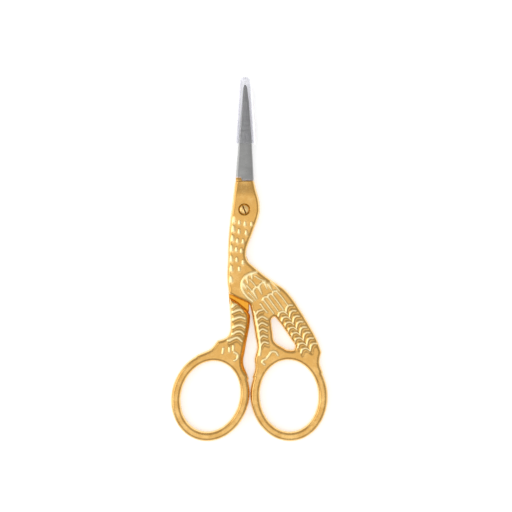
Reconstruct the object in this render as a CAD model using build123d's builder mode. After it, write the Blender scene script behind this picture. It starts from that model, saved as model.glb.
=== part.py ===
from build123d import *
import os
from math import cos, hypot, radians, sin

os.makedirs("parts", exist_ok=True)

# Stork embroidery scissors, closed, lying flat on a table.
# X runs across the bird towards its tail, Y along the blades towards the tips, Z up from the table.
# The origin is where the pivot axis meets the table.

# Reach along Y from the pivot axis
blade_reach = 40.2  # to the blade tips
handle_reach = 74.8  # to the bottoms of the finger rings
shoulder_rise = 9.2  # to the line where gilding ends and bare steel begins

# Thickness: the two halves lap at mid height
half_thickness = 2.0  # one half at the head
lap_gap = 0.04  # running gap between the flat inner faces
relief_height = 0.3  # feathers and head above the field of the casting
edge_round = 0.7  # rounding along the cast outline
overrun = 0.2  # how far a cut passes a face, or a raised form roots in it

# Head and neck, measured across from the pivot axis
shoulder_left = 2.9
shoulder_right = 3.2
head_left = 4.0
head_right = 5.1
neck_left = 5.35
neck_width = 6.0  # at its narrowest
neck_drop = 14.5  # pivot axis down to the narrowest place
head_inset = 0.7  # outline in to the foot of the head's raised flat
head_flat_drop = 2.9  # pivot axis down to where the raised flat ends
head_flat_slope = 45.0  # degrees

# Bird below the neck
tail_reach = 25.0  # pivot axis across to the tip of the tail
lap_wall_gap = 0.45  # between the back half's neck and the body's wall beside it

# Finger rings
ring_length = 29.4  # outside, along the long axis
ring_width = 25.1  # outside, along the short axis
ring_band = 3.2  # width of the metal, seen from the front
ring_edge_round = 1.1
left_ring_tilt = 17.0  # degrees, foot of the ring leaning away from the middle
right_ring_tilt = 3.5
ring_meet_reach = 1.84  # pivot axis across to where the closed rings meet
ring_stop_gap = 0.1  # left between the closed rings

# Blades
root_left = 2.75
root_right = 3.0
root_thickness = 1.35
tip_thickness = 0.5
grind_shoulder = 0.8  # length of the slope from the gilded head to the ground blade
spine_bevel = 0.45
edge_bevel = 0.9
edge_land = 0.15  # thickness left at the cutting edge
back_blade_inset = 0.1  # back blade's outline inside the front one's

# Pivot screw
screw_shank_radius = 1.0
screw_running_gap = 0.04  # radial, in the front half's bore
screw_head_radius = 1.48
screw_head_height = 0.72
screw_head_dome = 0.16
recess_radius = 1.8
recess_depth = 0.95
screw_seat_gap = 0.03
slot_width = 0.42
slot_depth = 0.35
slot_turn = 112.0  # degrees from X

# Tip cap
cap_mouth_rise = 21.2  # pivot axis to the mouth
cap_beyond_tip = 3.2  # blade tips to the closed end
cap_mouth_width = 6.9
cap_top_width = 3.9
cap_mouth_thickness = 3.9
cap_top_thickness = 3.0
cap_wall = 0.55
cap_offset = 0.22  # cap's middle across from the pivot axis
cap_corner_share = 0.45  # corner radius as a share of the thickness
cap_end_round = 1.3
rib_count = 3
rib_height = 0.12
rib_width = 0.5
rib_pitch = 1.6
rib_first_rise = 3.9  # cap mouth to the first rib

# Feather relief
bump_width = 0.85
bump_length = 1.9
bump_taper = 25.0  # degrees
ridge_width = 0.5

# Levels
front_top = 2 * half_thickness
back_field = relief_height
front_field = front_top - relief_height
relief_root = front_field - overrun  # raised forms are rooted below the field
back_inner = half_thickness - lap_gap / 2
front_inner = half_thickness + lap_gap / 2


# Finger rings: an ellipse leaning by its tilt, placed by its true extents
def ring_reach(tilt):
    """Half the extent of a leaning ring, across and along."""
    lean = radians(tilt)
    across = hypot(ring_width / 2 * cos(lean), ring_length / 2 * sin(lean))
    along = hypot(ring_length / 2 * cos(lean), ring_width / 2 * sin(lean))
    return across, along


left_across, left_along = ring_reach(left_ring_tilt)
right_across, right_along = ring_reach(right_ring_tilt)
left_ring_centre = (ring_meet_reach - ring_stop_gap / 2 - left_across, left_along - handle_reach)
right_ring_centre = (ring_meet_reach + ring_stop_gap / 2 + right_across, right_along - handle_reach)
bird_drop = handle_reach - 2 * left_along  # pivot axis down to the tops of the rings

# Places read from the photograph, in its pixels: X to the right, Y down.
# They are carried onto the bird by its tail reach and its drop, so the outline follows both.
pivot_px = (244.3, 209.6)
tail_tip_px = (321.9, 352.5)
ring_top_px = 351.4


def on_bird(place_px):
    """A place in the photograph as a point on the bird."""
    across_share = (place_px[0] - pivot_px[0]) / (tail_tip_px[0] - pivot_px[0])
    down_share = (place_px[1] - pivot_px[1]) / (ring_top_px - pivot_px[1])
    return (across_share * tail_reach, -down_share * bird_drop)


def all_on_bird(places_px):
    return [on_bird(place_px) for place_px in places_px]


# Body, tail and legs
wall_top_px = (250.6, 263.4)
back_line_px = [
    wall_top_px, (256.0, 268.0), (265.5, 275.8), (275.0, 282.4), (284.0, 288.4), (291.4, 296.4),
    (299.2, 308.0), (309.0, 324.0), (317.5, 340.0), tail_tip_px,
]
tail_foot_px = [tail_tip_px, (320.4, 358.5), (320.3, 364.0), (322.8, 372.5)]
right_ring_inside_px = [(314.0, 377.0), (289.0, 380.0), (263.0, 380.0)]
right_leg_inner_px = [
    (252.6, 377.0), (254.4, 370.5), (254.6, 365.0), (254.1, 359.0), (255.2, 354.5), (256.6, 349.0),
    (255.0, 336.0), (252.6, 320.0), (250.6, 309.0),
]
body_hem_px = [(250.6, 309.0), (249.3, 304.6), (244.0, 301.6), (237.0, 298.6), (229.2, 294.4)]
breast_px = (227.8, 288.0)
window_px = [
    (274.2, 317.4), (278.2, 321.4), (284.2, 329.6), (290.6, 339.2), (294.8, 346.6), (293.4, 349.9),
    (288.2, 349.9), (283.0, 346.9), (278.0, 344.1), (274.6, 340.8), (273.2, 333.0), (271.9, 324.5),
    (271.7, 320.0),
]
leg_top_px = [(229.3, 298.0), (235.0, 300.8), (240.0, 304.5), (245.0, 308.6), (247.6, 310.6)]
left_leg_inner_px = [
    (247.6, 310.6), (250.0, 315.0), (250.1, 321.0), (248.4, 333.0), (246.6, 342.0), (244.9, 352.0),
    (243.4, 361.0), (244.3, 367.5), (246.9, 374.0), (248.7, 378.5),
]
left_ring_inside_px = [(238.0, 382.0), (212.0, 382.0), (200.0, 372.0)]
left_toe_px = [(197.0, 355.8), (204.5, 352.3), (211.3, 348.0), (214.8, 344.0), (217.3, 340.3)]
left_leg_outer_px = [
    (217.3, 340.3), (222.0, 339.2), (227.4, 336.2), (229.8, 331.0), (230.3, 322.0), (229.8, 310.0),
    (229.3, 298.0),
]
neck_root_px = (229.8, 312.0)  # where the back half's neck ends inside its leg

# Feather relief: the neck's bumps, and the ridges of wing, tail, legs and toes
neck_bumps_px = [
    (234.1, 219.8), (239.3, 222.2), (245.0, 223.7), (251.5, 224.0),
    (233.5, 229.0), (239.1, 231.4), (246.0, 232.8),
    (232.7, 238.2), (237.5, 240.7), (243.1, 241.4),
    (231.6, 248.2), (236.5, 249.4), (241.4, 250.6),
    (231.6, 258.4), (236.8, 259.6), (243.1, 262.2),
    (232.4, 268.0), (239.3, 268.8), (231.9, 279.2),
]
wing_ridges_px = [
    [
        (256.0, 272.6), (251.0, 273.7), (246.0, 276.4), (242.4, 281.5), (242.2, 287.5), (246.2, 295.5),
        (253.0, 300.2),
    ],
    [(251.2, 274.6), (252.0, 278.2)],
    [(246.4, 277.0), (247.9, 283.2)],
    [(252.4, 291.2), (259.0, 285.6), (264.2, 281.6)],
    [(264.4, 282.0), (266.8, 288.2)],
    [(258.8, 287.0), (261.5, 293.0)],
    [(253.0, 291.6), (256.8, 298.0)],
    [(262.6, 299.6), (266.0, 296.2), (271.0, 294.0), (274.8, 290.8)],
    [(275.8, 291.4), (286.8, 304.2)],
    [(271.4, 295.0), (282.9, 309.3)],
    [(267.4, 297.0), (277.8, 310.6)],
    [(263.8, 301.0), (273.4, 313.0)],
    [(260.8, 304.2), (267.0, 312.0)],
]
shin_ridge_px = [(254.8, 312.0), (257.6, 326.0), (259.6, 340.0), (260.4, 352.0)]
right_toe_ridge_px = [(276.8, 353.8), (272.6, 351.5), (267.6, 357.0), (263.2, 360.4), (264.2, 363.6)]
left_toe_ridges_px = [
    [(223.2, 348.5), (222.9, 352.6)],
    [(229.3, 347.8), (229.3, 351.4)],
    [(233.3, 346.0), (233.3, 350.6)],
    [(235.4, 352.4), (237.6, 356.0), (235.2, 359.8)],
]

# One arched feather of each row by its two ends and its crown, and the step to the next
inner_tail_feather_px = [(278.8, 316.2), (281.4, 311.6), (286.8, 314.0)]
outer_tail_feather_px = [(286.6, 311.4), (288.2, 306.2), (291.4, 306.6)]
inner_tail_step_px = (3.24, 5.2)
outer_tail_step_px = (3.44, 5.4)
tail_rows = 8
right_leg_feather_px = [(257.6, 313.6), (260.8, 310.6), (265.6, 312.6)]
right_leg_step_px = (0.7, 6.1)
right_leg_rows = 6
left_leg_feather_px = [(233.4, 306.8), (238.0, 304.6), (241.6, 306.6)]
left_leg_step_px = (0.1, 6.7)
left_leg_rows = 5


def feather_row(feather_px, step_px, rows):
    """A row of arched feathers."""
    for row in range(rows):
        left_end, crown, right_end = all_on_bird(
            [(x_px + row * step_px[0], y_px + row * step_px[1]) for x_px, y_px in feather_px]
        )
        ThreePointArc(left_end, crown, right_end)


def ridge(places_px):
    """One raised line of the relief."""
    if len(places_px) > 2:
        Spline(*all_on_bird(places_px))
    else:
        Line(*all_on_bird(places_px))


def ridges(all_places_px):
    for places_px in all_places_px:
        ridge(places_px)


def keep_between(left_x, right_x):
    """Trim a relief sketch to the half that carries it."""
    middle = ((left_x + right_x) / 2, -handle_reach / 2)
    with Locations(middle):
        Rectangle(right_x - left_x, handle_reach, mode=Mode.INTERSECT)


# Head and neck in plan, from the pivot axis
waist = (neck_width - neck_left, -neck_drop)
throat = (-neck_left, -neck_drop)
wall_top = on_bird(wall_top_px)
wall_foot = on_bird(body_hem_px[0])
lap_edge = wall_top[0] - lap_wall_gap  # the back half's neck ends here, beside the wall

# Points between two places, each as shares of the way across and along from the first to the second
right_cheek_shares = [(0.35, 0.3), (0.85, 0.66)]  # shoulder to the head's widest place
right_nape_shares = [(0.5, 0.5)]  # head's widest place to the waist
left_nape_shares = [(0.1, 0.32), (0.55, 0.77)]  # throat to the head's widest place
left_cheek_shares = [(0.0, 0.13), (0.5, 0.62)]  # head's widest place to the shoulder

# Headings of the outline at the ends of its curves
up = (0, 1)
down = (0, -1)
cheek_lean = 0.3  # across for one along, where the head meets the blade
back_heading = (0.75, -0.66)
tail_tip_heading = (0.25, -1)
breast_heading = (-0.4, 1)
nape_root_heading = (-0.1, 1)


def between(start, end, shares):
    """Points on the way from one place to another."""
    run = (end[0] - start[0], end[1] - start[1])
    return [(start[0] + across * run[0], start[1] + along * run[1]) for across, along in shares]


def head_outline():
    """Shoulder line and right side of the head, down to the waist of the neck."""
    left_shoulder = (-shoulder_left, shoulder_rise)
    right_shoulder = (shoulder_right, shoulder_rise)
    cheek = (head_right, 0)
    to_cheek = between(right_shoulder, cheek, right_cheek_shares)
    to_waist = between(cheek, waist, right_nape_shares)
    Line(left_shoulder, right_shoulder)
    Spline(right_shoulder, *to_cheek, cheek, *to_waist, waist, tangents=[(cheek_lean, -1), down])


def throat_outline():
    """Left side of the neck and head, up to the shoulder."""
    left_shoulder = (-shoulder_left, shoulder_rise)
    cheek = (-head_left, 0)
    to_cheek = between(throat, cheek, left_nape_shares)
    to_shoulder = between(cheek, left_shoulder, left_cheek_shares)
    Spline(throat, *to_cheek, *to_shoulder, left_shoulder, tangents=[up, (cheek_lean, 1)])


def tail_outline():
    """Back line, tail, and the right leg's inner edge, closed across the inside of the ring."""
    Spline(*all_on_bird(back_line_px), tangents=[back_heading, tail_tip_heading])
    Spline(*all_on_bird(tail_foot_px))
    Polyline(*all_on_bird([tail_foot_px[-1], *right_ring_inside_px, right_leg_inner_px[0]]))
    Spline(*all_on_bird(right_leg_inner_px))


def left_leg_outline():
    """Left leg and toe from its inner to its outer edge, closed across the inside of the ring."""
    Spline(*all_on_bird(left_leg_inner_px))
    Polyline(*all_on_bird([left_leg_inner_px[-1], *left_ring_inside_px, left_toe_px[0]]))
    Spline(*all_on_bird(left_toe_px))
    Spline(*all_on_bird(left_leg_outer_px))


def cut_ring_middle(centre, tilt):
    """A plate that runs into a ring ends along the middle of its band."""
    with Locations(Location((*centre, 0), (0, 0, tilt))):
        Ellipse(ring_width / 2 - ring_band / 2, ring_length / 2 - ring_band / 2, mode=Mode.SUBTRACT)


def cut_window():
    """The gap between the right leg and the tail."""
    with BuildLine() as rim:
        Spline(*all_on_bird(window_px), periodic=True)
    make_face(rim.edges(), mode=Mode.SUBTRACT)


def ring(centre, tilt):
    """A finger ring with rounded edges."""
    with BuildPart() as band:
        with BuildSketch(Plane.XY.offset(back_field)):
            with Locations(Location((*centre, 0), (0, 0, tilt))):
                Ellipse(ring_width / 2, ring_length / 2)
                Ellipse(ring_width / 2 - ring_band, ring_length / 2 - ring_band, mode=Mode.SUBTRACT)
        extrude(amount=front_field - back_field)
        fillet(band.edges().filter_by(GeomType.ELLIPSE), ring_edge_round)
    return band.part


def cast_edges(face):
    """The drawn outline of a plate's outer face, without its straight cuts and the ends inside the ring."""
    return face.edges().filter_by(GeomType.BSPLINE)


def head_flat():
    """The raised flat round the pivot, with sloping sides."""
    left = (head_inset - head_left, 0)
    right = (head_right - head_inset, 0)
    foot = ((left[0] + right[0]) / 2, -head_flat_drop)
    top_left = (head_inset - shoulder_left, shoulder_rise - head_inset / 2)
    top_right = (shoulder_right - head_inset, shoulder_rise - head_inset / 2)
    with BuildPart() as flat:
        with BuildSketch(Plane.XY.offset(relief_root)):
            with BuildLine():
                Line(top_right, top_left)
                Spline(top_left, left, tangents=[(-cheek_lean, -1), down])
                ThreePointArc(left, foot, right)
                Spline(right, top_right, tangents=[up, (-cheek_lean, 1)])
            make_face()
        extrude(amount=front_top - relief_root, taper=head_flat_slope)
    return flat.part


def neck_bumps():
    """The rows of feather bumps on the neck."""
    with BuildPart() as feathers:
        with BuildSketch(Plane.XY.offset(relief_root)):
            with Locations(*all_on_bird(neck_bumps_px)):
                Ellipse(bump_width / 2, bump_length / 2)
        extrude(amount=front_top - relief_root, taper=bump_taper)
    return feathers.part


def on_back(relief):
    """The same relief on the back face."""
    return mirror(relief, about=Plane.XY.offset(half_thickness))


# Front half: bird with tail, right leg and right ring
with BuildPart() as front_plate:
    with BuildSketch(Plane.XY.offset(front_inner)):
        with BuildLine():
            head_outline()
            Spline(waist, wall_top, tangents=[down, back_heading])
            tail_outline()
            Spline(*all_on_bird(body_hem_px))
            Spline(on_bird(body_hem_px[-1]), on_bird(breast_px), throat, tangents=[breast_heading, up])
            throat_outline()
        make_face()
        cut_window()
        cut_ring_middle(right_ring_centre, right_ring_tilt)
    extrude(amount=front_field - front_inner)
    fillet(cast_edges(front_plate.faces().sort_by(Axis.Z)[-1]), edge_round)

with BuildPart() as body_block:
    with BuildSketch(Plane.XY.offset(back_field)):
        with BuildLine():
            tail_outline()
            Line(wall_foot, wall_top)
        make_face()
        cut_window()
        cut_ring_middle(right_ring_centre, right_ring_tilt)
    extrude(amount=front_inner - back_field)
    fillet(cast_edges(body_block.faces().sort_by(Axis.Z)[0]), edge_round)


def front_ridges(left_x):
    """Wing, tail, leg and toe ridges of the front half, from a place across it to the tail."""
    with BuildPart() as feathers:
        with BuildSketch(Plane.XY.offset(relief_root)):
            with BuildLine():
                ridges(wing_ridges_px)
                ridge(shin_ridge_px)
                ridge(right_toe_ridge_px)
                feather_row(inner_tail_feather_px, inner_tail_step_px, tail_rows)
                feather_row(outer_tail_feather_px, outer_tail_step_px, tail_rows)
                feather_row(right_leg_feather_px, right_leg_step_px, right_leg_rows)
            trace(line_width=ridge_width)
            keep_between(left_x, tail_reach)
        extrude(amount=front_top - relief_root)
    return feathers.part


right_ring = ring(right_ring_centre, right_ring_tilt)
raised_flat = head_flat()
raised_bumps = neck_bumps()
bird_ridges = front_ridges(-neck_left)
reverse_ridges = on_back(front_ridges(wall_top[0] + lap_wall_gap))

with BuildPart() as front_handle:
    add(front_plate.part)
    add(body_block.part)
    add(right_ring)
    add(raised_flat)
    add(raised_bumps)
    add(bird_ridges)
    add(reverse_ridges)
    with Locations((0, 0, front_top)):
        CounterBoreHole(screw_shank_radius + screw_running_gap, recess_radius, recess_depth)
front_handle.part.label = "front_handle"
export_step(front_handle.part, "parts/front_handle.step")

# Back half: head and neck behind the front ones, left leg and left ring
with BuildPart() as leg_plate:
    with BuildSketch(Plane.XY.offset(back_field)):
        with BuildLine():
            Spline(*all_on_bird(leg_top_px))
            left_leg_outline()
        make_face()
        cut_ring_middle(left_ring_centre, -left_ring_tilt)
    extrude(amount=front_field - back_field)
    fillet(cast_edges(leg_plate.faces().sort_by(Axis.Z)[-1]), edge_round)

neck_root = on_bird(neck_root_px)
with BuildPart() as neck_plate:
    with BuildSketch(Plane.XY.offset(back_field)):
        with BuildLine():
            head_outline()
            Spline(waist, (lap_edge, wall_top[1]), tangents=[down, down])
            Line((lap_edge, wall_top[1]), (lap_edge, neck_root[1]))
            Line((lap_edge, neck_root[1]), neck_root)
            Spline(neck_root, throat, tangents=[nape_root_heading, up])
            throat_outline()
        make_face()
    extrude(amount=back_inner - back_field)
    fillet(cast_edges(neck_plate.faces().sort_by(Axis.Z)[0]), edge_round)


def left_leg_ridges(show_wing):
    """Leg and toe ridges of the back half, with the wing's leading edge where its neck shows."""
    with BuildPart() as feathers:
        with BuildSketch(Plane.XY.offset(relief_root)):
            with BuildLine():
                ridges(left_toe_ridges_px)
                feather_row(left_leg_feather_px, left_leg_step_px, left_leg_rows)
                if show_wing:
                    ridges(wing_ridges_px[:3])
            trace(line_width=ridge_width)
            keep_between(-handle_reach, lap_edge - ridge_width)
        extrude(amount=front_top - relief_root)
    return feathers.part


left_ring = ring(left_ring_centre, -left_ring_tilt)
reverse_flat = on_back(raised_flat)
reverse_bumps = on_back(raised_bumps)
leg_ridges = left_leg_ridges(show_wing=False)
reverse_leg_ridges = on_back(left_leg_ridges(show_wing=True))

with BuildPart() as back_handle:
    add(neck_plate.part)
    add(leg_plate.part)
    add(left_ring)
    add(reverse_flat)
    add(reverse_bumps)
    add(leg_ridges)
    add(reverse_leg_ridges)
    with Locations((0, 0, back_inner)):
        Hole(screw_shank_radius)
back_handle.part.label = "back_handle"
export_step(back_handle.part, "parts/back_handle.step")


# Blades: sections from the shoulder to the tip
# Each row: share of the way up, then what is left of the root's width to the left and right of the pivot axis
blade_row_shares = [
    (0.0, 1.0, 1.0),
    (0.4, 0.645, 0.8),
    (0.8, 0.28, 0.51),
    (0.97, 0.125, 0.32),
    (1.0, 0.0, 0.2),
]


def blade_sections(inner_level, way, inset):
    """Sections of one blade. Spine and cutting edge swap sides with the way it faces, up or down."""
    length = blade_reach - shoulder_rise
    root_width = root_left + root_right - 2 * inset

    def section(rise, left, right, thickness, bevel_share):
        spine, edge = (left, right) if way > 0 else (right, left)
        turn = 1 if spine < edge else -1
        profile = [
            (spine, 0),
            (spine, thickness - bevel_share * spine_bevel),
            (spine + turn * bevel_share * spine_bevel, thickness),
            (edge - turn * bevel_share * edge_bevel, thickness),
            (edge, edge_land),
            (edge, 0),
        ]
        with BuildSketch(Plane.XZ.offset(-rise)) as cut:
            with BuildLine():
                Polyline(*[(x, inner_level + way * z) for x, z in profile], close=True)
            make_face()
        return cut.sketch

    gilded_thickness = half_thickness - relief_height
    sections = [section(shoulder_rise, inset - root_left, root_right - inset, gilded_thickness, 1)]
    for up_share, left_share, right_share in blade_row_shares:
        rise = shoulder_rise + grind_shoulder + up_share * (length - grind_shoulder)
        left = -left_share * (root_left - inset)
        right = right_share * (root_right - inset)
        thickness = root_thickness + up_share * (tip_thickness - root_thickness)
        sections.append(section(rise, left, right, thickness, (right - left) / root_width))
    return sections


front_blade_sections = blade_sections(front_inner, 1, 0)
with BuildPart() as front_blade:
    loft(front_blade_sections, ruled=True)
front_blade.part.label = "front_blade"
export_step(front_blade.part, "parts/front_blade.step")

back_blade_sections = blade_sections(back_inner, -1, back_blade_inset)
with BuildPart() as back_blade:
    loft(back_blade_sections, ruled=True)
back_blade.part.label = "back_blade"
export_step(back_blade.part, "parts/back_blade.step")

# Pivot screw: turned profile, then the slot
screw_seat = front_top - recess_depth + screw_seat_gap
screw_crown = screw_seat + screw_head_height
screw_rim = screw_crown - screw_head_dome
dome_heading = (-0.5, 1)

with BuildPart() as pivot_screw:
    with BuildSketch(Plane.XZ):
        with BuildLine():
            Polyline(
                (0, screw_crown), (0, 0), (screw_shank_radius, 0), (screw_shank_radius, screw_seat),
                (screw_head_radius, screw_seat), (screw_head_radius, screw_rim),
            )
            Spline((screw_head_radius, screw_rim), (0, screw_crown), tangents=[dome_heading, (-1, 0)])
        make_face()
    revolve(axis=Axis.Z)
    with Locations(Location((0, 0, screw_crown), (0, 0, slot_turn))):
        Box(2 * recess_radius, slot_width, 2 * slot_depth, mode=Mode.SUBTRACT)
pivot_screw.part.label = "pivot_screw"
export_step(pivot_screw.part, "parts/pivot_screw.step")


# Tip cap: a flattened tapering sleeve with a closed, rounded end
def cap_section(rise, grow):
    """The sleeve's section at a height above the pivot, grown all round."""
    up_share = (rise - cap_mouth_rise) / (blade_reach + cap_beyond_tip - cap_mouth_rise)
    width = cap_mouth_width + up_share * (cap_top_width - cap_mouth_width) + 2 * grow
    thickness = cap_mouth_thickness + up_share * (cap_top_thickness - cap_mouth_thickness) + 2 * grow
    with BuildSketch(Plane.XZ.offset(-rise)) as section:
        with Locations((cap_offset, half_thickness)):
            RectangleRounded(width, thickness, cap_corner_share * thickness)
    return section.sketch


cap_end_rise = blade_reach + cap_beyond_tip
cavity_sections = [
    cap_section(cap_mouth_rise - overrun, -cap_wall),
    cap_section(cap_end_rise - cap_wall, -cap_wall),
]
sleeve_sections = [cap_section(cap_mouth_rise, 0), cap_section(cap_end_rise, 0)]
rib_sections = [
    cap_section(cap_mouth_rise + rib_first_rise + rib * rib_pitch, rib_height) for rib in range(rib_count)
]

with BuildPart() as cap_cavity:
    loft(cavity_sections)
    fillet(cap_cavity.faces().sort_by(Axis.Y)[-1].edges(), cap_end_round - cap_wall)

with BuildPart() as tip_cap:
    loft(sleeve_sections)
    fillet(tip_cap.faces().sort_by(Axis.Y)[-1].edges(), cap_end_round)
    for rib_section in rib_sections:
        extrude(rib_section, amount=rib_width / 2, both=True)
    add(cap_cavity.part, mode=Mode.SUBTRACT)
tip_cap.part.label = "tip_cap"
export_step(tip_cap.part, "parts/tip_cap.step")
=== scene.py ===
# %% [markdown]
# # Stork embroidery scissors
#
# The bird's beak is the pair of blades, its eye is the pivot screw, and its legs end in the finger
# rings. The construction is already solid and exact, so this file only dresses it. Each half becomes
# one smooth forged skin with its feathers raised on it, and then steel, screw and clear tip cap get
# their finish.

# %% Load the fixed model
from itertools import product

import bpy
import numpy as np
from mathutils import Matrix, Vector


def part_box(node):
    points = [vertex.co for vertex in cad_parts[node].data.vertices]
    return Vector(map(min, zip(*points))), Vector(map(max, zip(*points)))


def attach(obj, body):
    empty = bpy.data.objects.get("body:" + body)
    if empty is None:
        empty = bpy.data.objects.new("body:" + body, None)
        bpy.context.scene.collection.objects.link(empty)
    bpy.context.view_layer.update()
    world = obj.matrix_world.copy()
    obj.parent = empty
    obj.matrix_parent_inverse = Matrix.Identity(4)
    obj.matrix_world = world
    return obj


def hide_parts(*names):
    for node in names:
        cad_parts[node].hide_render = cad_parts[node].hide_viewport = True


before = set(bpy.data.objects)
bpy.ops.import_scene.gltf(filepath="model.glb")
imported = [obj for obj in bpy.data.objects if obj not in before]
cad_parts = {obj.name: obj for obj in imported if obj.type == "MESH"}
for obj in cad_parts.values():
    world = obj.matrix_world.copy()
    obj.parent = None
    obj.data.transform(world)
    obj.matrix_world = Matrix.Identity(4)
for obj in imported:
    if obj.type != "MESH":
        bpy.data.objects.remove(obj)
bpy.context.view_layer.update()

# %% [markdown]
# ## Sizes
#
# Everything that the solids already say is read from them. Lengths are kept in millimetres while a
# shape is drawn, because feathers of half a millimetre are easier to think about that way, and each
# mesh is turned into metres at the very end.

# %% Sizes that the solids give
MM = 0.001


def box_mm(node):
    """Lowest and highest corner of a solid, in millimetres."""
    low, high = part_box(node)
    return np.array(low) / MM, np.array(high) / MM


front_low, front_high = box_mm("front_handle")
back_low, back_high = box_mm("back_handle")
blade_low, blade_high = box_mm("front_blade")
back_blade_low, back_blade_high = box_mm("back_blade")
cap_low, cap_high = box_mm("tip_cap")
screw_low, screw_high = box_mm("pivot_screw")

front_top = front_high[2]
shoulder_rise = front_high[1]
handle_reach = -front_low[1]
front_inner = blade_low[2]  # flat inner face of the front half
back_inner = back_blade_high[2]  # flat inner face of the back half
blade_reach = blade_high[1]
print(f"thickness {front_top:.2f}, shoulder at {shoulder_rise:.2f}")
print(f"handle reaches {handle_reach:.2f}, blade reaches {blade_reach:.2f}")

# %% [markdown]
# Finger rings are ovals that lean outwards at the foot. Each oval touches the outside of its half, so
# its centre follows from the box of that half, its own size and its lean.

# %% Finger rings
ring_length = 29.4
ring_width = 25.1
ring_band = 3.2
ring_runs = 144  # short runs that a ring is drawn with
left_ring_tilt = np.radians(-17.0)  # foot of the ring leaning to the left
right_ring_tilt = np.radians(3.5)


def ring_extent(tilt):
    """Half the width and half the height of a leaning oval."""
    across = np.hypot(ring_width / 2 * np.cos(tilt), ring_length / 2 * np.sin(tilt))
    along = np.hypot(ring_length / 2 * np.cos(tilt), ring_width / 2 * np.sin(tilt))
    return np.array([across, along])


left_ring_centre = back_low[:2] + ring_extent(left_ring_tilt)
right_foot_corner = np.array([front_high[0], front_low[1]])
right_ring_centre = right_foot_corner + ring_extent(right_ring_tilt) * np.array([-1, 1])
bird_drop = handle_reach - 2 * ring_extent(left_ring_tilt)[1]
print("ring centres", left_ring_centre.round(2), right_ring_centre.round(2))

# %% [markdown]
# ## Places on the bird
#
# The outline and the feathers were drawn over the photograph, so their points are its pixels, X to the
# right and Y down. One small function lays them on the bird.

# %% From pixels to the bird
pivot_px = (244.3, 209.6)
tail_tip_px = (321.9, 352.5)
ring_top_px = 351.4
tail_reach = 25.0


def on_bird(places_px):
    """Places in the photograph as points on the bird, in millimetres from the pivot."""
    places = np.atleast_2d(np.array(places_px, float)) - pivot_px
    across = places[:, 0] / (tail_tip_px[0] - pivot_px[0]) * tail_reach
    along = -places[:, 1] / (ring_top_px - pivot_px[1]) * bird_drop
    return np.stack([across, along], axis=1)


print("one pixel is", round(tail_reach / (tail_tip_px[0] - pivot_px[0]), 3), "mm")

# %% [markdown]
# An outline is a handful of chosen points with a smooth line through them. The line below passes
# through every point, and its lean at each one comes from its two neighbours, which is how a fairing
# curve is bent round pins on a drawing board.

# %% Smooth lines through chosen points
def curve(points, start=None, end=None, run=0.35):
    """A smooth open line through points, as short straight runs."""
    points = np.array(points, float)
    steps = np.diff(points, axis=0)
    gaps = np.linalg.norm(steps, axis=1)[:, None]
    slopes = steps / gaps
    inner = (slopes[:-1] * gaps[1:] + slopes[1:] * gaps[:-1]) / (gaps[1:] + gaps[:-1])
    leans = np.vstack([slopes[:1], inner, slopes[-1:]])
    for place, heading in ((0, start), (-1, end)):
        if heading is not None:
            leans[place] = np.array(heading) / np.linalg.norm(heading)
    line = []
    for a, b, lean_a, lean_b, gap in zip(points[:-1], points[1:], leans[:-1], leans[1:], gaps[:, 0]):
        t = np.linspace(0, 1, max(2, int(np.ceil(gap / run)) + 1))[:-1, None]
        line.append(
            (2 * t**3 - 3 * t**2 + 1) * a + (t**3 - 2 * t**2 + t) * gap * lean_a
            + (3 * t**2 - 2 * t**3) * b + (t**3 - t**2) * gap * lean_b
        )
    return np.vstack([*line, points[-1:]])


def closed_curve(points):
    """A smooth closed line through points."""
    around = np.vstack([points[-3:], points, points[:3]])
    line = curve(around)
    first = np.argmin(np.linalg.norm(line - points[0], axis=1))
    last = len(line) - np.argmin(np.linalg.norm(line[::-1] - points[0], axis=1)) - 1
    return line[first:last]


def ring_line(centre, tilt, inset):
    """A leaning oval, drawn inside the outer edge of a ring by an inset."""
    turn = np.linspace(0, 2 * np.pi, ring_runs, endpoint=False)
    across = (ring_width / 2 - inset) * np.cos(turn)
    along = (ring_length / 2 - inset) * np.sin(turn)
    x = across * np.cos(tilt) - along * np.sin(tilt)
    y = across * np.sin(tilt) + along * np.cos(tilt)
    return np.stack([centre[0] + x, centre[1] + y], axis=1)


print("a ring is drawn with", len(ring_line(right_ring_centre, right_ring_tilt, 0)), "short runs")

# %% [markdown]
# ## Outlines of the two halves
#
# Both halves share the head. Below it the front half carries the back, the tail and the right leg, and
# the back half carries the left leg. The head is drawn a little past the shoulder line and trimmed
# there later, so that no rounding runs across the place where the blade begins.

# %% Head and neck
shoulder_left = 2.9
shoulder_right = 3.2
head_left = 4.0
head_right = 5.1
neck_left = 5.35
neck_width = 6.0
neck_drop = 14.5
cheek_lean = 0.3
past_shoulder = 2.5

waist = np.array([neck_width - neck_left, -neck_drop])
throat = np.array([-neck_left, -neck_drop])
up = (0, 1)
down = (0, -1)
back_heading = (0.75, -0.66)

right_cheek_shares = [(0.35, 0.3), (0.85, 0.66)]
right_nape_shares = [(0.5, 0.5)]
left_nape_shares = [(0.1, 0.32), (0.55, 0.77)]
left_cheek_shares = [(0.0, 0.13), (0.5, 0.62)]


def between(start, end, shares):
    """Points on the way from one place to another, as shares across and along."""
    start = np.array(start, float)
    return [start + np.array(share) * (np.array(end) - start) for share in shares]


left_shoulder = np.array([-shoulder_left, shoulder_rise])
right_shoulder = np.array([shoulder_right, shoulder_rise])
left_cheek = np.array([-head_left, 0])
right_cheek = np.array([head_right, 0])

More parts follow.
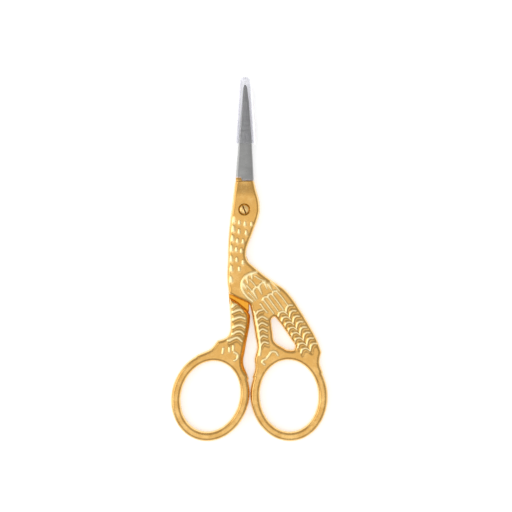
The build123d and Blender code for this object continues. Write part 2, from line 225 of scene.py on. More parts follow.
head_right_line = curve(
    [right_shoulder, *between(right_shoulder, right_cheek, right_cheek_shares), right_cheek,
     *between(right_cheek, waist, right_nape_shares), waist],
    start=(cheek_lean, -1), end=down,
)
throat_line = curve(
    [throat, *between(throat, left_cheek, left_nape_shares),
     *between(left_cheek, left_shoulder, left_cheek_shares), left_shoulder],
    start=up, end=(cheek_lean, 1),
)
beyond_shoulder = np.array([
    left_shoulder + past_shoulder * np.array([cheek_lean, 1]),
    right_shoulder + past_shoulder * np.array([-cheek_lean, 1]),
])

print("head and neck have", len(head_right_line) + len(throat_line), "short runs")

# %% [markdown]
# The body was followed over the photograph: back and tail on the right, the hem below the breast, both
# legs down to their rings, and the window between leg and tail. Arcs and straight lines would need
# fewer numbers, but the die that struck this bird was cut by hand, and smooth lines through seen points
# keep its uneven charm.

# %% Body, tail and legs
wall_top_px = (250.6, 263.4)
back_line_px = [
    wall_top_px, (256.0, 268.0), (265.5, 275.8), (275.0, 282.4), (284.0, 288.4), (291.4, 296.4),
    (299.2, 308.0), (309.0, 324.0), (317.5, 340.0), tail_tip_px,
]
tail_foot_px = [tail_tip_px, (320.4, 358.5), (320.3, 364.0), (322.8, 372.5)]
right_ring_inside_px = [(314.0, 377.0), (289.0, 380.0), (263.0, 380.0)]
right_leg_inner_px = [
    (252.6, 377.0), (254.4, 370.5), (254.6, 365.0), (254.1, 359.0), (255.2, 354.5), (256.6, 349.0),
    (255.0, 336.0), (252.6, 320.0), (250.6, 309.0),
]
body_hem_px = [(250.6, 309.0), (249.3, 304.6), (244.0, 301.6), (237.0, 298.6), (229.2, 294.4)]
breast_px = (227.8, 288.0)
window_px = [
    (274.2, 317.4), (278.2, 321.4), (284.2, 329.6), (290.6, 339.2), (294.8, 346.6), (293.4, 349.9),
    (288.2, 349.9), (283.0, 346.9), (278.0, 344.1), (274.6, 340.8), (273.2, 333.0), (271.9, 324.5),
    (271.7, 320.0),
]
leg_top_px = [(229.3, 298.0), (235.0, 300.8), (240.0, 304.5), (245.0, 308.6), (247.6, 310.6)]
left_leg_inner_px = [
    (247.6, 310.6), (250.0, 315.0), (250.1, 321.0), (248.4, 333.0), (246.6, 342.0), (244.9, 352.0),
    (243.4, 361.0), (244.3, 367.5), (246.9, 374.0), (248.7, 378.5),
]
left_ring_inside_px = [(238.0, 382.0), (212.0, 382.0), (200.0, 372.0)]
left_toe_px = [(197.0, 355.8), (204.5, 352.3), (211.3, 348.0), (214.8, 344.0), (217.3, 340.3)]
left_leg_outer_px = [
    (217.3, 340.3), (222.0, 339.2), (227.4, 336.2), (229.8, 331.0), (230.3, 322.0), (229.8, 310.0),
    (229.3, 298.0),
]
neck_root_px = (229.8, 312.0)

wall_top = on_bird(wall_top_px)[0]
wall_foot = on_bird(body_hem_px[0])[0]
tail_line = np.vstack([
    curve(on_bird(back_line_px), start=back_heading, end=(0.25, -1)),
    curve(on_bird(tail_foot_px)),
    on_bird(right_ring_inside_px),
    curve(on_bird(right_leg_inner_px)),
])
bird_line = np.vstack([
    beyond_shoulder,
    head_right_line,
    curve([waist, wall_top], start=down, end=back_heading),
    tail_line,
    curve(on_bird(body_hem_px)),
    curve([on_bird(body_hem_px[-1])[0], on_bird(breast_px)[0], throat], start=(-0.4, 1), end=up),
    throat_line,
])
block_line = np.vstack([tail_line, [wall_foot, wall_top]])
window_line = closed_curve(on_bird(window_px))
print("front outline has", len(bird_line), "short runs")

# %% [markdown]
# The left leg belongs to the back half. A slim neck of half thickness joins it to its own head, hidden
# behind the front one. A narrow gap beside the wall of the body lets the two halves swing past each
# other.

# %% Left leg, and the neck behind the front one
lap_wall_gap = 0.45
lap_edge = wall_top[0] - lap_wall_gap
neck_root = on_bird(neck_root_px)[0]

left_leg_line = np.vstack([
    curve(on_bird(leg_top_px)),
    curve(on_bird(left_leg_inner_px)),
    on_bird(left_ring_inside_px),
    curve(on_bird(left_toe_px)),
    curve(on_bird(left_leg_outer_px)),
])
back_neck_line = np.vstack([
    beyond_shoulder,
    head_right_line,
    curve([waist, (lap_edge, wall_top[1])], start=down, end=down),
    [(lap_edge, neck_root[1]), neck_root],
    curve([neck_root, throat], start=(-0.1, 1), end=up),
    throat_line,
])
print("left leg has", len(left_leg_line), "short runs, the hidden neck", len(back_neck_line))

# %% [markdown]
# ## Depth maps
#
# A forging has rounded rims, a crowned face and fine ridges, and all of them follow from one question:
# how far is a point inside the outline? So each outline is turned into a map of depths on a plan grid.
# The alternative, bevelling a drawn polygon, breaks down where curves are tight, and a map never does.

# %% Plan grid and depth below an outline
plan_step = 0.16
last_cell = 1.001  # keeps a place inside the last cell of a map
shortest_run = 1e-12


class Plan:
    """An even grid of places over a box, and the maps drawn on it."""

    def __init__(self, low, high, step=plan_step):
        self.low = np.array(low[:2]) - 2 * step
        self.step = step
        size = ((np.array(high[:2]) + 2 * step - self.low) / step).astype(int) + 1
        ticks = [self.low[n] + step * np.arange(size[n]) for n in (0, 1)]
        self.x, self.y = np.meshgrid(*ticks, indexing="ij")

    def read(self, values, x, y):
        """A map's value at any places, blended between the four grid points around each."""
        across = np.clip((x - self.low[0]) / self.step, 0, values.shape[0] - last_cell)
        along = np.clip((y - self.low[1]) / self.step, 0, values.shape[1] - last_cell)
        i, j = across.astype(int), along.astype(int)
        s, t = across - i, along - j
        return (
            values[i, j] * (1 - s) * (1 - t) + values[i + 1, j] * s * (1 - t)
            + values[i, j + 1] * (1 - s) * t + values[i + 1, j + 1] * s * t
        )


def line_distance(line, x, y):
    """Plain distance from each place to a line of short runs."""
    nearest = np.full(x.shape, np.inf)
    for (ax, ay), (bx, by) in zip(line[:-1], line[1:]):
        run_x, run_y = bx - ax, by - ay
        length = max(run_x**2 + run_y**2, shortest_run)
        t = np.clip(((x - ax) * run_x + (y - ay) * run_y) / length, 0, 1)
        nearest = np.minimum(nearest, (x - ax - t * run_x) ** 2 + (y - ay - t * run_y) ** 2)
    return np.sqrt(nearest)


def depth_inside(line, plan):
    """How far each place lies inside a closed outline, less than nothing outside it."""
    inside = np.zeros(plan.x.shape, bool)
    ends = np.vstack([line, line[:1]])
    for (ax, ay), (bx, by) in zip(ends[:-1], ends[1:]):
        if ay != by:
            crossing = ax + (plan.y - ay) * (bx - ax) / (by - ay)
            inside ^= ((ay > plan.y) != (by > plan.y)) & (plan.x < crossing)
    return np.where(inside, 1, -1) * line_distance(ends, plan.x, plan.y)


print("a map of the front half has", Plan(front_low, front_high).x.size, "places")

# %% [markdown]
# Where a leg meets its ring the real forging has a small web of metal. Joining two depth maps with a
# soft maximum leaves just such a fillet in the corner between them.

# %% Joining outlines, and the finger rings
web = 0.9
leg_in_ring = 2.3  # how far a leg runs into the band of its ring


def join(a, b):
    """The depths of two shapes together, with a fillet where they meet."""
    blend = np.maximum(web - np.abs(a - b), 0) / web
    return np.maximum(a, b) + blend**2 * web / 4


def with_ring(depth, plan, centre, tilt):
    """Adds a finger ring to a leg, which ends inside the ring's band."""
    outer = depth_inside(ring_line(centre, tilt, 0), plan)
    hole = depth_inside(ring_line(centre, tilt, ring_band), plan)
    leg_stop = depth_inside(ring_line(centre, tilt, leg_in_ring), plan)
    return join(np.minimum(depth, -leg_stop), np.minimum(outer, -hole))


print("two edges that meet get a web of", join(0.0, 0.0), "mm")

# %% [markdown]
# ## Feathers
#
# The feathers are low ridges: teardrops down the neck, a scalloped wing, two columns of scales on the
# tail, bars on the legs and a few strokes on the toes. They are drawn as lines in plan and raised with
# a soft profile, so light rolls over them as it does over struck metal.

# %% Feathers of the neck and wing
breast_drops_px = [
    (234.0, 219.6), (233.4, 228.8), (232.6, 238.2), (231.5, 248.2), (231.2, 258.6), (231.4, 268.4),
    (231.2, 279.4),
]
neck_drops_px = [
    (239.3, 222.2), (245.0, 223.7), (251.5, 224.0), (239.1, 231.4), (246.2, 232.6), (237.5, 240.7),
    (243.1, 241.4), (236.5, 249.4), (241.4, 250.6), (236.8, 259.6), (243.1, 262.2), (239.3, 268.8),
]
wing_edge_px = [
    (256.2, 272.4), (251.0, 273.5), (246.0, 276.2), (242.6, 281.0), (241.9, 286.5), (243.6, 292.0),
    (247.4, 297.0), (252.4, 301.0),
]
shoulder_scallops_px = [
    [(252.6, 291.4), (255.6, 287.6), (258.6, 286.8)],
    [(258.4, 287.0), (261.0, 283.6), (264.6, 281.6)],
]
primary_scallops_px = [
    [(262.6, 300.0), (264.4, 297.2), (267.6, 296.6)],
    [(267.4, 296.8), (269.4, 294.2), (272.2, 293.6)],
    [(272.2, 293.8), (273.8, 291.2), (276.6, 290.8)],
]
wing_points_px = [
    [(251.4, 274.0), (252.2, 278.8)],
    [(246.4, 276.8), (248.0, 283.6)],
    [(243.6, 284.0), (246.6, 289.4)],
    [(264.2, 281.8), (267.2, 289.0)],
    [(258.6, 287.2), (261.8, 294.0)],
    [(252.8, 291.4), (257.2, 298.8)],
    [(268.4, 284.4), (271.8, 290.0)],
]
wing_strokes_px = [
    [(255.2, 276.2), (259.2, 278.8), (263.0, 280.4)],
    [(250.0, 279.8), (253.6, 283.6), (256.2, 287.0)],
    [(247.0, 285.6), (250.2, 289.2), (252.6, 291.8)],
    [(248.8, 292.8), (252.2, 296.2), (255.6, 300.4)],
    [(270.6, 281.6), (275.6, 286.2), (280.0, 291.2)],
]
long_feathers_px = [
    [(276.2, 291.0), (281.6, 296.8), (287.2, 304.4)],
    [(271.8, 294.2), (277.4, 301.4), (283.2, 309.4)],
    [(267.6, 296.8), (272.4, 303.4), (278.0, 310.8)],
    [(263.8, 300.2), (268.6, 306.6), (273.6, 313.2)],
    [(260.6, 304.0), (263.6, 308.4), (267.2, 312.4)],
]
print("drops", len(breast_drops_px) + len(neck_drops_px), "long feathers", len(long_feathers_px))

# %% [markdown]
# The shin has one long edge, the toes are hooked strokes, and each leg carries a stack of bent bars.
# The tail is regular enough to be told by one scale of each column and the step to the next, which is
# how a punch is moved along a die.

# %% Feathers of the legs and tail
shin_edge_px = [
    (254.6, 312.0), (256.6, 320.0), (258.2, 328.0), (259.8, 340.0), (260.6, 347.0), (259.6, 355.0),
]
right_toe_px = [
    (277.8, 355.0), (275.8, 352.0), (272.0, 351.4), (268.6, 355.4), (266.0, 358.5), (262.9, 360.2),
    (262.3, 362.2), (264.5, 364.3),
]
left_toes_px = [
    [(223.4, 348.3), (222.6, 353.2)],
    [(229.4, 347.6), (229.5, 351.6)],
    [(233.4, 345.8), (233.2, 350.4)],
    [(234.6, 352.2), (237.6, 354.6), (237.4, 358.0), (234.4, 360.4)],
]
right_leg_bars_px = [
    [(256.6, 313.6), (258.8, 310.8), (262.2, 309.8)],
    [(257.8, 319.4), (261.6, 316.6), (267.2, 319.2)],
    [(258.6, 325.2), (261.6, 322.8), (267.0, 325.0)],
    [(259.2, 331.2), (262.2, 328.9), (267.0, 330.9)],
    [(260.2, 338.0), (262.8, 335.6), (267.2, 336.8)],
    [(261.2, 345.0), (264.0, 341.8), (268.2, 343.0)],
]
left_leg_bars_px = [
    [(232.4, 306.8), (235.0, 304.2), (239.2, 303.5)],
    [(232.6, 312.2), (236.5, 310.4), (240.8, 309.9), (242.8, 312.4)],
    [(232.8, 319.8), (236.5, 317.9), (241.2, 317.0), (245.0, 318.6)],
    [(233.2, 327.6), (236.5, 325.5), (240.8, 325.0), (244.8, 327.6)],
    [(233.0, 333.8), (236.0, 331.7), (240.4, 331.3), (244.2, 334.6)],
    [(229.0, 340.4), (237.5, 337.5), (241.8, 341.2)],
]

# A scale of each column of the tail by its left end, crown and right end, with the step to the next one
inner_scale_px = [(278.4, 316.2), (279.6, 312.6), (283.4, 311.5), (287.4, 314.2)]
inner_step_px = (3.24, 5.22)
outer_scale_px = [(286.2, 311.2), (287.0, 307.2), (289.4, 305.0), (292.2, 305.4)]
outer_step_px = (3.46, 5.45)
scale_count = 8


def column(scale_px, step_px):
    """The scales of one column, each as a smooth line on the bird."""
    return [curve(on_bird(np.array(scale_px) + n * np.array(step_px))) for n in range(scale_count)]


print("scales", 2 * scale_count, "bars", len(right_leg_bars_px) + len(left_leg_bars_px))

# %% [markdown]
# A ridge is highest on its line and falls away like a bell, and it can taper, as a struck feather does
# towards its point. Beside a scale or a bar the metal is pushed down a little, which is what makes each
# one stand out.

# %% Raising ridges and sinking hollows
relief_step = 0.08
ridge_height = 0.22
ridge_reach = 0.3
hollow_depth = 0.16
hollow_reach = 0.5
hollow_shift = 0.45  # of the step to the next feather
bell_end = 3.0  # reaches from the line to where a ridge has faded out
drop_taper = 5  # how much narrower a drop's point is than the drop


def raise_line(relief, plan, line, height=ridge_height, reach=ridge_reach, end_reach=None):
    """Adds one ridge to a relief map, or a hollow if its height is less than nothing."""
    end_reach = end_reach or reach
    edge = bell_end * max(reach, end_reach)
    shares = np.linspace(0, 1, len(line))
    ahead = slice(*np.searchsorted(plan.x[:, 0], (line[:, 0].min() - edge, line[:, 0].max() + edge)))
    beside = slice(*np.searchsorted(plan.y[0], (line[:, 1].min() - edge, line[:, 1].max() + edge)))
    x, y = plan.x[ahead, beside], plan.y[ahead, beside]
    bell = np.zeros(x.shape)
    for share, a, b in zip(shares, line[:-1], line[1:]):
        width = reach + share * (end_reach - reach)
        bell = np.maximum(bell, np.exp(-((line_distance(np.array([a, b]), x, y) / width) ** 2)))
    patch = relief[ahead, beside]
    relief[ahead, beside] = patch + (height - patch) * bell if height > 0 else patch + height * bell


def raise_drop(relief, plan, place, width, length):
    """Adds one teardrop, round at the foot and pointed towards the head."""
    half = np.array([0, 0.5 - width / length / 2]) * length
    spine = curve([place - half, place + half])
    raise_line(relief, plan, spine, reach=width / 2, end_reach=width / drop_taper)


print("ridges stand", ridge_height, "mm high, hollows go", hollow_depth, "mm down")

# %% [markdown]
# The drops are raised on the necks of both halves, because the die for the hidden neck was cut like the
# other. They are larger along the breast than on the rest of the neck.

# %% Drops of the neck, and hollows
drop_width, drop_length = 0.85, 1.85
breast_width, breast_length = 1.15, 2.5


def raise_neck(relief, plan):
    """Adds the drops that both halves have down the neck."""
    for place in on_bird(neck_drops_px):
        raise_drop(relief, plan, place, drop_width, drop_length)
    for place in on_bird(breast_drops_px):
        raise_drop(relief, plan, place, breast_width, breast_length)


def sink_under(relief, plan, lines, step_px):
    """Sinks a hollow on the far side of each scale or bar."""
    shift = on_bird(np.array(pivot_px) + step_px)[0] * hollow_shift
    for line in lines:
        raise_line(relief, plan, line + shift, height=-hollow_depth, reach=hollow_reach)


print("a drop is", drop_length, "mm long, on the breast", breast_length)

# %% [markdown]
# Each half gets its own map of ridges. Hollows are sunk first, so that a ridge beside one keeps its
# full height.

# %% Relief of each half
point_reach, point_end = 0.5, 0.1
bar_reach, bar_end = 0.5, 0.3
wing_reach = 0.42
stroke_reach, stroke_end = 0.24, 0.14
feather_reach, feather_end = 0.26, 0.2
shin_reach = 0.34
toe_reach, toe_end = 0.36, 0.26
right_bar_step_px = (0.7, 6.1)
left_bar_step_px = (0.1, 6.7)


def front_relief(plan):
    """Wing, tail, right leg and toes."""
    relief = np.zeros(plan.x.shape)
    scales = [
        (column(inner_scale_px, inner_step_px), inner_step_px),
        (column(outer_scale_px, outer_step_px), outer_step_px),
    ]
    bars = [curve(on_bird(bar_px)) for bar_px in right_leg_bars_px]
    for lines, step_px in [*scales, (bars, right_bar_step_px)]:
        sink_under(relief, plan, lines, step_px)
    for lines, _ in scales:
        for line in lines:
            raise_line(relief, plan, line)
    for line in bars:
        raise_line(relief, plan, line)
    raise_line(relief, plan, curve(on_bird(wing_edge_px)), reach=wing_reach)
    for scallop_px in [*shoulder_scallops_px, *primary_scallops_px]:
        raise_line(relief, plan, curve(on_bird(scallop_px)))
    for point_px in wing_points_px:
        raise_line(relief, plan, curve(on_bird(point_px)), reach=point_reach, end_reach=point_end)
    for stroke_px in wing_strokes_px:
        raise_line(relief, plan, curve(on_bird(stroke_px)), reach=stroke_reach, end_reach=stroke_end)
    for feather_px in long_feathers_px:
        raise_line(relief, plan, curve(on_bird(feather_px)), reach=feather_reach, end_reach=feather_end)
    raise_line(relief, plan, curve(on_bird(shin_edge_px)), reach=shin_reach)
    raise_line(relief, plan, curve(on_bird(right_toe_px)), reach=shin_reach)
    raise_neck(relief, plan)
    return relief


def back_relief(plan):
    """Left leg and toes."""
    relief = np.zeros(plan.x.shape)
    bars = [curve(on_bird(bar_px)) for bar_px in left_leg_bars_px]
    sink_under(relief, plan, bars, left_bar_step_px)
    for line in bars:
        raise_line(relief, plan, line, reach=bar_reach, end_reach=bar_end)
    for toe_px in left_toes_px:
        raise_line(relief, plan, curve(on_bird(toe_px)), reach=toe_reach, end_reach=toe_end)
    raise_neck(relief, plan)
    return relief


print("wing points", len(wing_points_px), "toes", len(left_toes_px))

# %% [markdown]
# ## From maps to metal
#
# The face of a half is its field, crowned a little towards the outline, with the feathers on it and the
# flat round the pivot raised. Forging dies part at mid thickness, so the sides lean in from there at a
# draft angle, and seen from above they show as a pale band round the bird. The corner between side and
# face is rounded.

# %% Height of a face
relief_height = 0.3  # the flat round the pivot above the field
field_level = front_top - relief_height
crown_drop = 0.3
crown_reach = 1.7
rim_round = 0.5
parting_level = front_top / 2
draft = np.radians(17.0)
flat_foot = -4.6  # along the neck, where the raised flat has faded out
flat_full = -1.4
flat_shoulder = 5.0  # length of its slope towards the shoulder
hole_chamfer = 0.35


def ease(low, high, value):
    """Runs smoothly from nothing to one between two values."""
    t = np.clip((value - low) / (high - low), 0, 1)
    return t * t * (3 - 2 * t)


def face_level(depth, relief, way_out, y):
    """Height of the front face above the table."""
    flat = ease(flat_foot, flat_full, y) * (1 - ease(shoulder_rise - flat_shoulder, shoulder_rise, y))
    crown = crown_drop * (1 - np.clip(depth / crown_reach, 0, 1)) ** 2
    chamfer = np.clip(hole_chamfer - way_out, 0, hole_chamfer)
    return field_level + relief_height * flat + (relief - crown) * (1 - flat) - chamfer


def rounded(depth, rise, z):
    """Distance inside a plate whose sides are drafted and whose rim is rounded, below a face."""
    drafted = (depth - np.abs(z - parting_level) * np.tan(draft)) * np.cos(draft)
    side = rim_round - drafted
    face = rim_round - rise
    corner = np.hypot(np.maximum(side, 0), np.maximum(face, 0))
    return rim_round - corner - np.minimum(np.maximum(side, face), 0)


print("field at", round(field_level, 2), "mm, sides drafted by", round(np.degrees(draft)), "degrees")

# %% [markdown]
# The skin itself is a surface net: the solid is sampled on a grid, every cell that the surface passes
# through gets one vertex where the surface crosses its edges, and neighbouring cells are joined by
# quads. It gives even quads that follow the form, closes by itself, and keeps flat faces flat.

# %% Surface net
CORNERS = [np.array(corner) for corner in product((0, 1), repeat=3)]
EDGES = [(a, b) for a in CORNERS for b in CORNERS if (b >= a).all() and (b - a).sum() == 1]


def surface_net(samples, origin, steps):
    """Vertices and quads of the surface where the samples turn from solid to air."""
    solid = samples > 0
    cells_shape = np.array(samples.shape) - 1
    counts = np.zeros(cells_shape, int)
    for corner in CORNERS:
        counts += solid[tuple(slice(c, n + c) for c, n in zip(corner, cells_shape))]
    mixed = (counts > 0) & (counts < len(CORNERS))
    numbers = np.full(mixed.shape, -1)
    numbers[mixed] = np.arange(mixed.sum())
    cells = np.argwhere(mixed)
    total = np.zeros(cells.shape)
    hits = np.zeros((len(cells), 1))
    for a, b in EDGES:
        value_a = samples[tuple((cells + a).T)]
        value_b = samples[tuple((cells + b).T)]
        crossed = (value_a > 0) != (value_b > 0)
        share = value_a[crossed] / (value_a[crossed] - value_b[crossed])
        total[crossed] += cells[crossed] + a + share[:, None] * (b - a)
        hits[crossed] += 1
    quads = []
    for axis in range(3):
        order = (axis, (axis + 1) % 3, (axis + 2) % 3)
        here = np.moveaxis(solid, order, (0, 1, 2))
        turned = np.moveaxis(numbers, order, (0, 1, 2))
        i, j, k = np.nonzero(here[:-1, 1:-1, 1:-1] != here[1:, 1:-1, 1:-1])
        j, k = j + 1, k + 1
        ring = [turned[i, j - 1, k - 1], turned[i, j, k - 1], turned[i, j, k], turned[i, j - 1, k]]
        quad = np.stack(ring, axis=1)
        inward = ~here[i, j, k]
        quad[inward] = quad[inward][:, ::-1]
        quads.append(quad)
    return origin + total / hits * steps, np.vstack(quads)


print("a cell has", len(CORNERS), "corners and", len(EDGES), "edges")

# %% [markdown]
# Averages of crossings leave faint terraces on a gentle slope. So each vertex is then moved along the
# steepest way until it lies on the true surface, which a few rounds of Newton's method do.

# %% Settle vertices on the true surface
nudge = 0.02
steepest_least = 0.3
furthest_move = 0.08


def settle(vertices, solid_at, rounds=3):
    """Moves vertices onto the surface of a solid that can be asked anywhere."""
    for _ in range(rounds):
        slope = np.stack([
            (solid_at(*(vertices + way).T) - solid_at(*(vertices - way).T)) / (2 * nudge)
            for way in nudge * np.eye(3)
        ], axis=1)
        steep = np.maximum((slope**2).sum(axis=1), steepest_least)
        move = -solid_at(*vertices.T) / steep
        vertices = vertices + np.clip(move[:, None] * slope, -furthest_move, furthest_move)
    return vertices


print("a vertex moves at most", furthest_move, "mm in a round")

# %% [markdown]
# A mesh gets smooth shading and one extra number at each vertex: how far it stands above the field. The
# gilding uses it later for a painted highlight on the crests and painted shade in the hollows.

# %% Making a piece
def new_piece(name, vertices, faces, body, nodes):
    """A mesh object in metres that rides on a body and stands for solids."""
    mesh = bpy.data.meshes.new(name)
    mesh.from_pydata((np.asarray(vertices) * MM).tolist(), [], [tuple(face) for face in faces])
    mesh.validate()
    mesh.shade_smooth()
    piece = bpy.data.objects.new(name, mesh)
    bpy.context.scene.collection.objects.link(piece)
    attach(piece, body)
    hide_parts(*nodes)
    print(name, "has", len(mesh.vertices), "vertices and", len(mesh.polygons), "faces")
    return piece


def store_wear_and_painted_light(piece, values):
    """Stores each vertex's tone, from painted shade at minus one to painted highlight at one."""
    crest = piece.data.attributes.new("crest", "FLOAT", "POINT")
    crest.data.foreach_set("value", np.clip(values, -1, 1).astype(np.float32))


print("lengths are turned into metres by", MM)

# %% [markdown]
# A forging is then made in four steps: sample the solid level by level, lay the net, settle it, and
# store its painted highlight and shade. The levels miss the flat faces on purpose, because a sample
# right on a face is neither solid nor air.

# %% Forging a half
rise_step = 0.34
first_level = -1.7 * rise_step  # below the table by no whole step


def forge(name, low, high, solid_at, crest_at, body, node):
    """Samples a solid, lays its skin and settles it."""
    plan = Plan(low, high)
    levels = np.arange(first_level, front_top + 2 * rise_step, rise_step)
    samples = np.stack([solid_at(plan.x, plan.y, np.full(plan.x.shape, z)) for z in levels], axis=-1)
    origin = np.array([*plan.low, levels[0]])
    vertices, quads = surface_net(samples, origin, np.array([plan_step, plan_step, rise_step]))
    vertices = settle(vertices, solid_at)
    piece = new_piece(name, vertices, quads, body, [node])
    # The stored tone is painted highlight and shade, with some wear on the rings.
    store_wear_and_painted_light(piece, crest_at(*vertices.T))
    return piece


print(f"levels are {rise_step} mm apart, the first at {first_level:.2f} mm")

# %% [markdown]
# ## Front half
#
# The bird, with its tail and right leg, and the right ring. Over the lap it is only its own half thick,
# and beside the lap it is full thickness. The screw's recess and bore are taken out last.

# %% Maps of the front half
recess_radius = 1.8
recess_depth = 0.95
bore_radius = 1.04
recess_edge = 0.12  # the broken edge round the recess

front_plan = Plan(front_low, front_high)
front_fine = Plan(front_low, front_high, relief_step)
window_depth = depth_inside(window_line, front_plan)
bird_alone = np.minimum(depth_inside(bird_line, front_plan), -window_depth)
block_alone = np.minimum(depth_inside(block_line, front_plan), -window_depth)
bird_depth = with_ring(bird_alone, front_plan, right_ring_centre, right_ring_tilt)
block_depth = with_ring(block_alone, front_plan, right_ring_centre, right_ring_tilt)
front_way_out = -depth_inside(ring_line(right_ring_centre, right_ring_tilt, ring_band), front_plan)
front_feathers = front_relief(front_fine)
print(f"feathers from {front_feathers.min():.2f} to {front_feathers.max():.2f} mm about the field")

# %% [markdown]
# The solid of the front half can be asked at any place. A plate for the lap and a full block beside it
# are joined, the shoulder is cut straight, and the screw's recess and bore are taken out.

# %% Solid of the front half
def front_at(x, y, z):
    """Distance inside the front half at any places."""
    relief = front_fine.read(front_feathers, x, y)
    way_out = front_plan.read(front_way_out, x, y)
    bird = front_plan.read(bird_depth, x, y)
    block = front_plan.read(block_depth, x, y)
    face = face_level(bird, relief, way_out, y)
    reverse = front_top - face_level(block, relief, way_out, y)
    plate = np.minimum(rounded(bird, face - z, z), z - front_inner)
    full = np.minimum(rounded(block, face - z, z), rounded(block, z - reverse, z))
    from_axis = np.hypot(x, y)
    wider = np.maximum(z - front_top + recess_edge, 0)
    recess = np.maximum(recess_radius + wider - from_axis, -1)
    air = np.maximum(bore_radius - from_axis, np.minimum(recess, z - (front_top - recess_depth)))
    return np.minimum(np.minimum(np.maximum(plate, full), shoulder_rise - y), -air)


at_axis = front_at(np.zeros(1), np.zeros(1), np.full(1, front_top / 2))[0]
print(f"on the pivot axis the front half is {-at_axis:.2f} mm away")

# %% [markdown]
# Now the bird is struck. The tone of each place comes from the same maps: crests get a painted highlight,
# drafted sides a painted reflection, finger rings are paler from wear, and the recess gets painted shade.

# %% Forge the front half
# The pale drafted sides are a painted reflection.
side_reflection = 0.45
worn_ring = 0.08
ring_foot = left_ring_centre[1]
worn_fade = 14.0


def painted_side_reflection(face, z):
    """How pale the drafted sides are, as a painted reflection of the white table."""
    below = np.minimum(face - z, z - (front_top - face))
    return side_reflection * ease(rim_round / 2, rim_round, below)


def ring_wear(y):
    """The finger rings are handled most, so their gilding is paler all over."""
    return worn_ring * (1 - ease(ring_foot, ring_foot + worn_fade, y))


def front_crest(x, y, z):
    """Painted highlight on crests, reflection on sides and shade in the recess, with ring wear."""
    # Painted shade darkens the screw's recess to the deepest gold.
    recess_shade = (np.hypot(x, y) < recess_radius + recess_edge) & (z < front_top - recess_edge / 2)
    face = face_level(front_plan.read(bird_depth, x, y), 0, hole_chamfer, y)
    # Feather height paints a highlight on the crests and shade in the hollows, the sides a reflection.
    ridges = front_fine.read(front_feathers, x, y) / ridge_height
    worn = np.maximum(ridges + ring_wear(y), painted_side_reflection(face, z))
    return np.where(recess_shade, -1, worn)


front_skin = forge(
    "front_forging", front_low, front_high, front_at, front_crest, "front_half", "front_handle"
)

# %% [markdown]
# ## Back half
#
# The left leg and ring, full thickness, and the head and neck that lie behind the front ones. Its own
# feathers show when the scissors are opened or turned over.

# %% Maps of the back half
back_plan = Plan(back_low, back_high)
back_fine = Plan(back_low, back_high, relief_step)
leg_depth = with_ring(depth_inside(left_leg_line, back_plan), back_plan, left_ring_centre, left_ring_tilt)
neck_depth = depth_inside(back_neck_line, back_plan)
back_way_out = -depth_inside(ring_line(left_ring_centre, left_ring_tilt, ring_band), back_plan)
back_feathers = back_relief(back_fine)
print(f"feathers from {back_feathers.min():.2f} to {back_feathers.max():.2f} mm about the field")

# %% [markdown]
# The inner side of the left leg doesn't stand upright like the rest. It leans away towards the other
# leg, and the lean fades out at the ring.

# %% Lean of the left leg
lean_reach = 1.3
lean_slope = 0.75
lean_fade = 4.0
leg_side = curve(on_bird(left_leg_inner_px))
leg_lean = np.maximum(lean_reach - line_distance(leg_side, back_plan.x, back_plan.y), 0)
leg_lean *= ease(leg_side[-1, 1], leg_side[-1, 1] + lean_fade, back_plan.y)
lean_degrees = np.degrees(np.arctan(lean_slope))
print(f"the leg's inner side leans over {lean_reach} mm, by {lean_degrees:.0f} degrees")

# %% [markdown]
# The back half is struck in the same way, turned over: its flat lies underneath, and its lap is the
# lower plate. Where the lap slides under the body it gets painted shade in deep gold.

# %% Forge the back half
screw_shank = 1.0
lap_skin = 0.15
leaning_shade = 0.7  # how much painted shade deepens the gold of the leaning side
lean_shade = 0.5  # of the lean, where the painted shade has come in full


def back_at(x, y, z):
    """Distance inside the back half at any places."""
    relief = back_fine.read(back_feathers, x, y)
    way_out = back_plan.read(back_way_out, x, y)
    leg = back_plan.read(leg_depth, x, y)
    neck = back_plan.read(neck_depth, x, y)
    leg_face = face_level(leg, relief, way_out, y) - lean_slope * back_plan.read(leg_lean, x, y)
    neck_reverse = front_top - face_level(neck, relief, way_out, y)
    full = np.minimum(rounded(leg, leg_face - z, z), rounded(leg, z - (front_top - leg_face), z))
    plate = np.minimum(rounded(neck, z - neck_reverse, z), back_inner - z)
    thread = screw_shank - np.hypot(x, y)
    return np.minimum(np.minimum(np.maximum(plate, full), shoulder_rise - y), -thread)


def back_crest(x, y, z):
    """Painted highlight on crests and sides, shade in the lap and the leaning side, with ring wear."""
    # Painted shade on the lap where it slides under the body.
    lap_shade = (np.abs(z - back_inner) < lap_skin) & (back_plan.read(neck_depth, x, y) > 0)
    lap_shade &= back_plan.read(leg_depth, x, y) < lap_skin
    face = face_level(back_plan.read(leg_depth, x, y), 0, hole_chamfer, y)
    # Feather height paints a highlight on the crests and shade in the hollows, the sides a reflection.
    ridges = back_fine.read(back_feathers, x, y) / ridge_height
    worn = np.maximum(ridges + ring_wear(y), painted_side_reflection(face, z))
    # Painted shade deepens the gold of the leaning side.
    shaded = ease(0, lean_shade, back_plan.read(leg_lean, x, y))
    return np.where(lap_shade, -1, worn * (1 - shaded) - leaning_shade * shaded)


back_skin = forge("back_forging", back_low, back_high, back_at, back_crest, "back_half", "back_handle")

# %% [markdown]
# ## Blades
#
# Each blade is a ground bar: flat inside, a shallow bevel along the spine, an outer face that leans down
# towards the cutting edge, and a steep bevel at that edge. It could be carved from a box with modifiers,
# but a loft says it plainly: one section, carried up the blade while its width and thickness shrink.
# Every corner of the section is broken by a tiny rounding, because that is where real ground steel
# catches its bright lines.

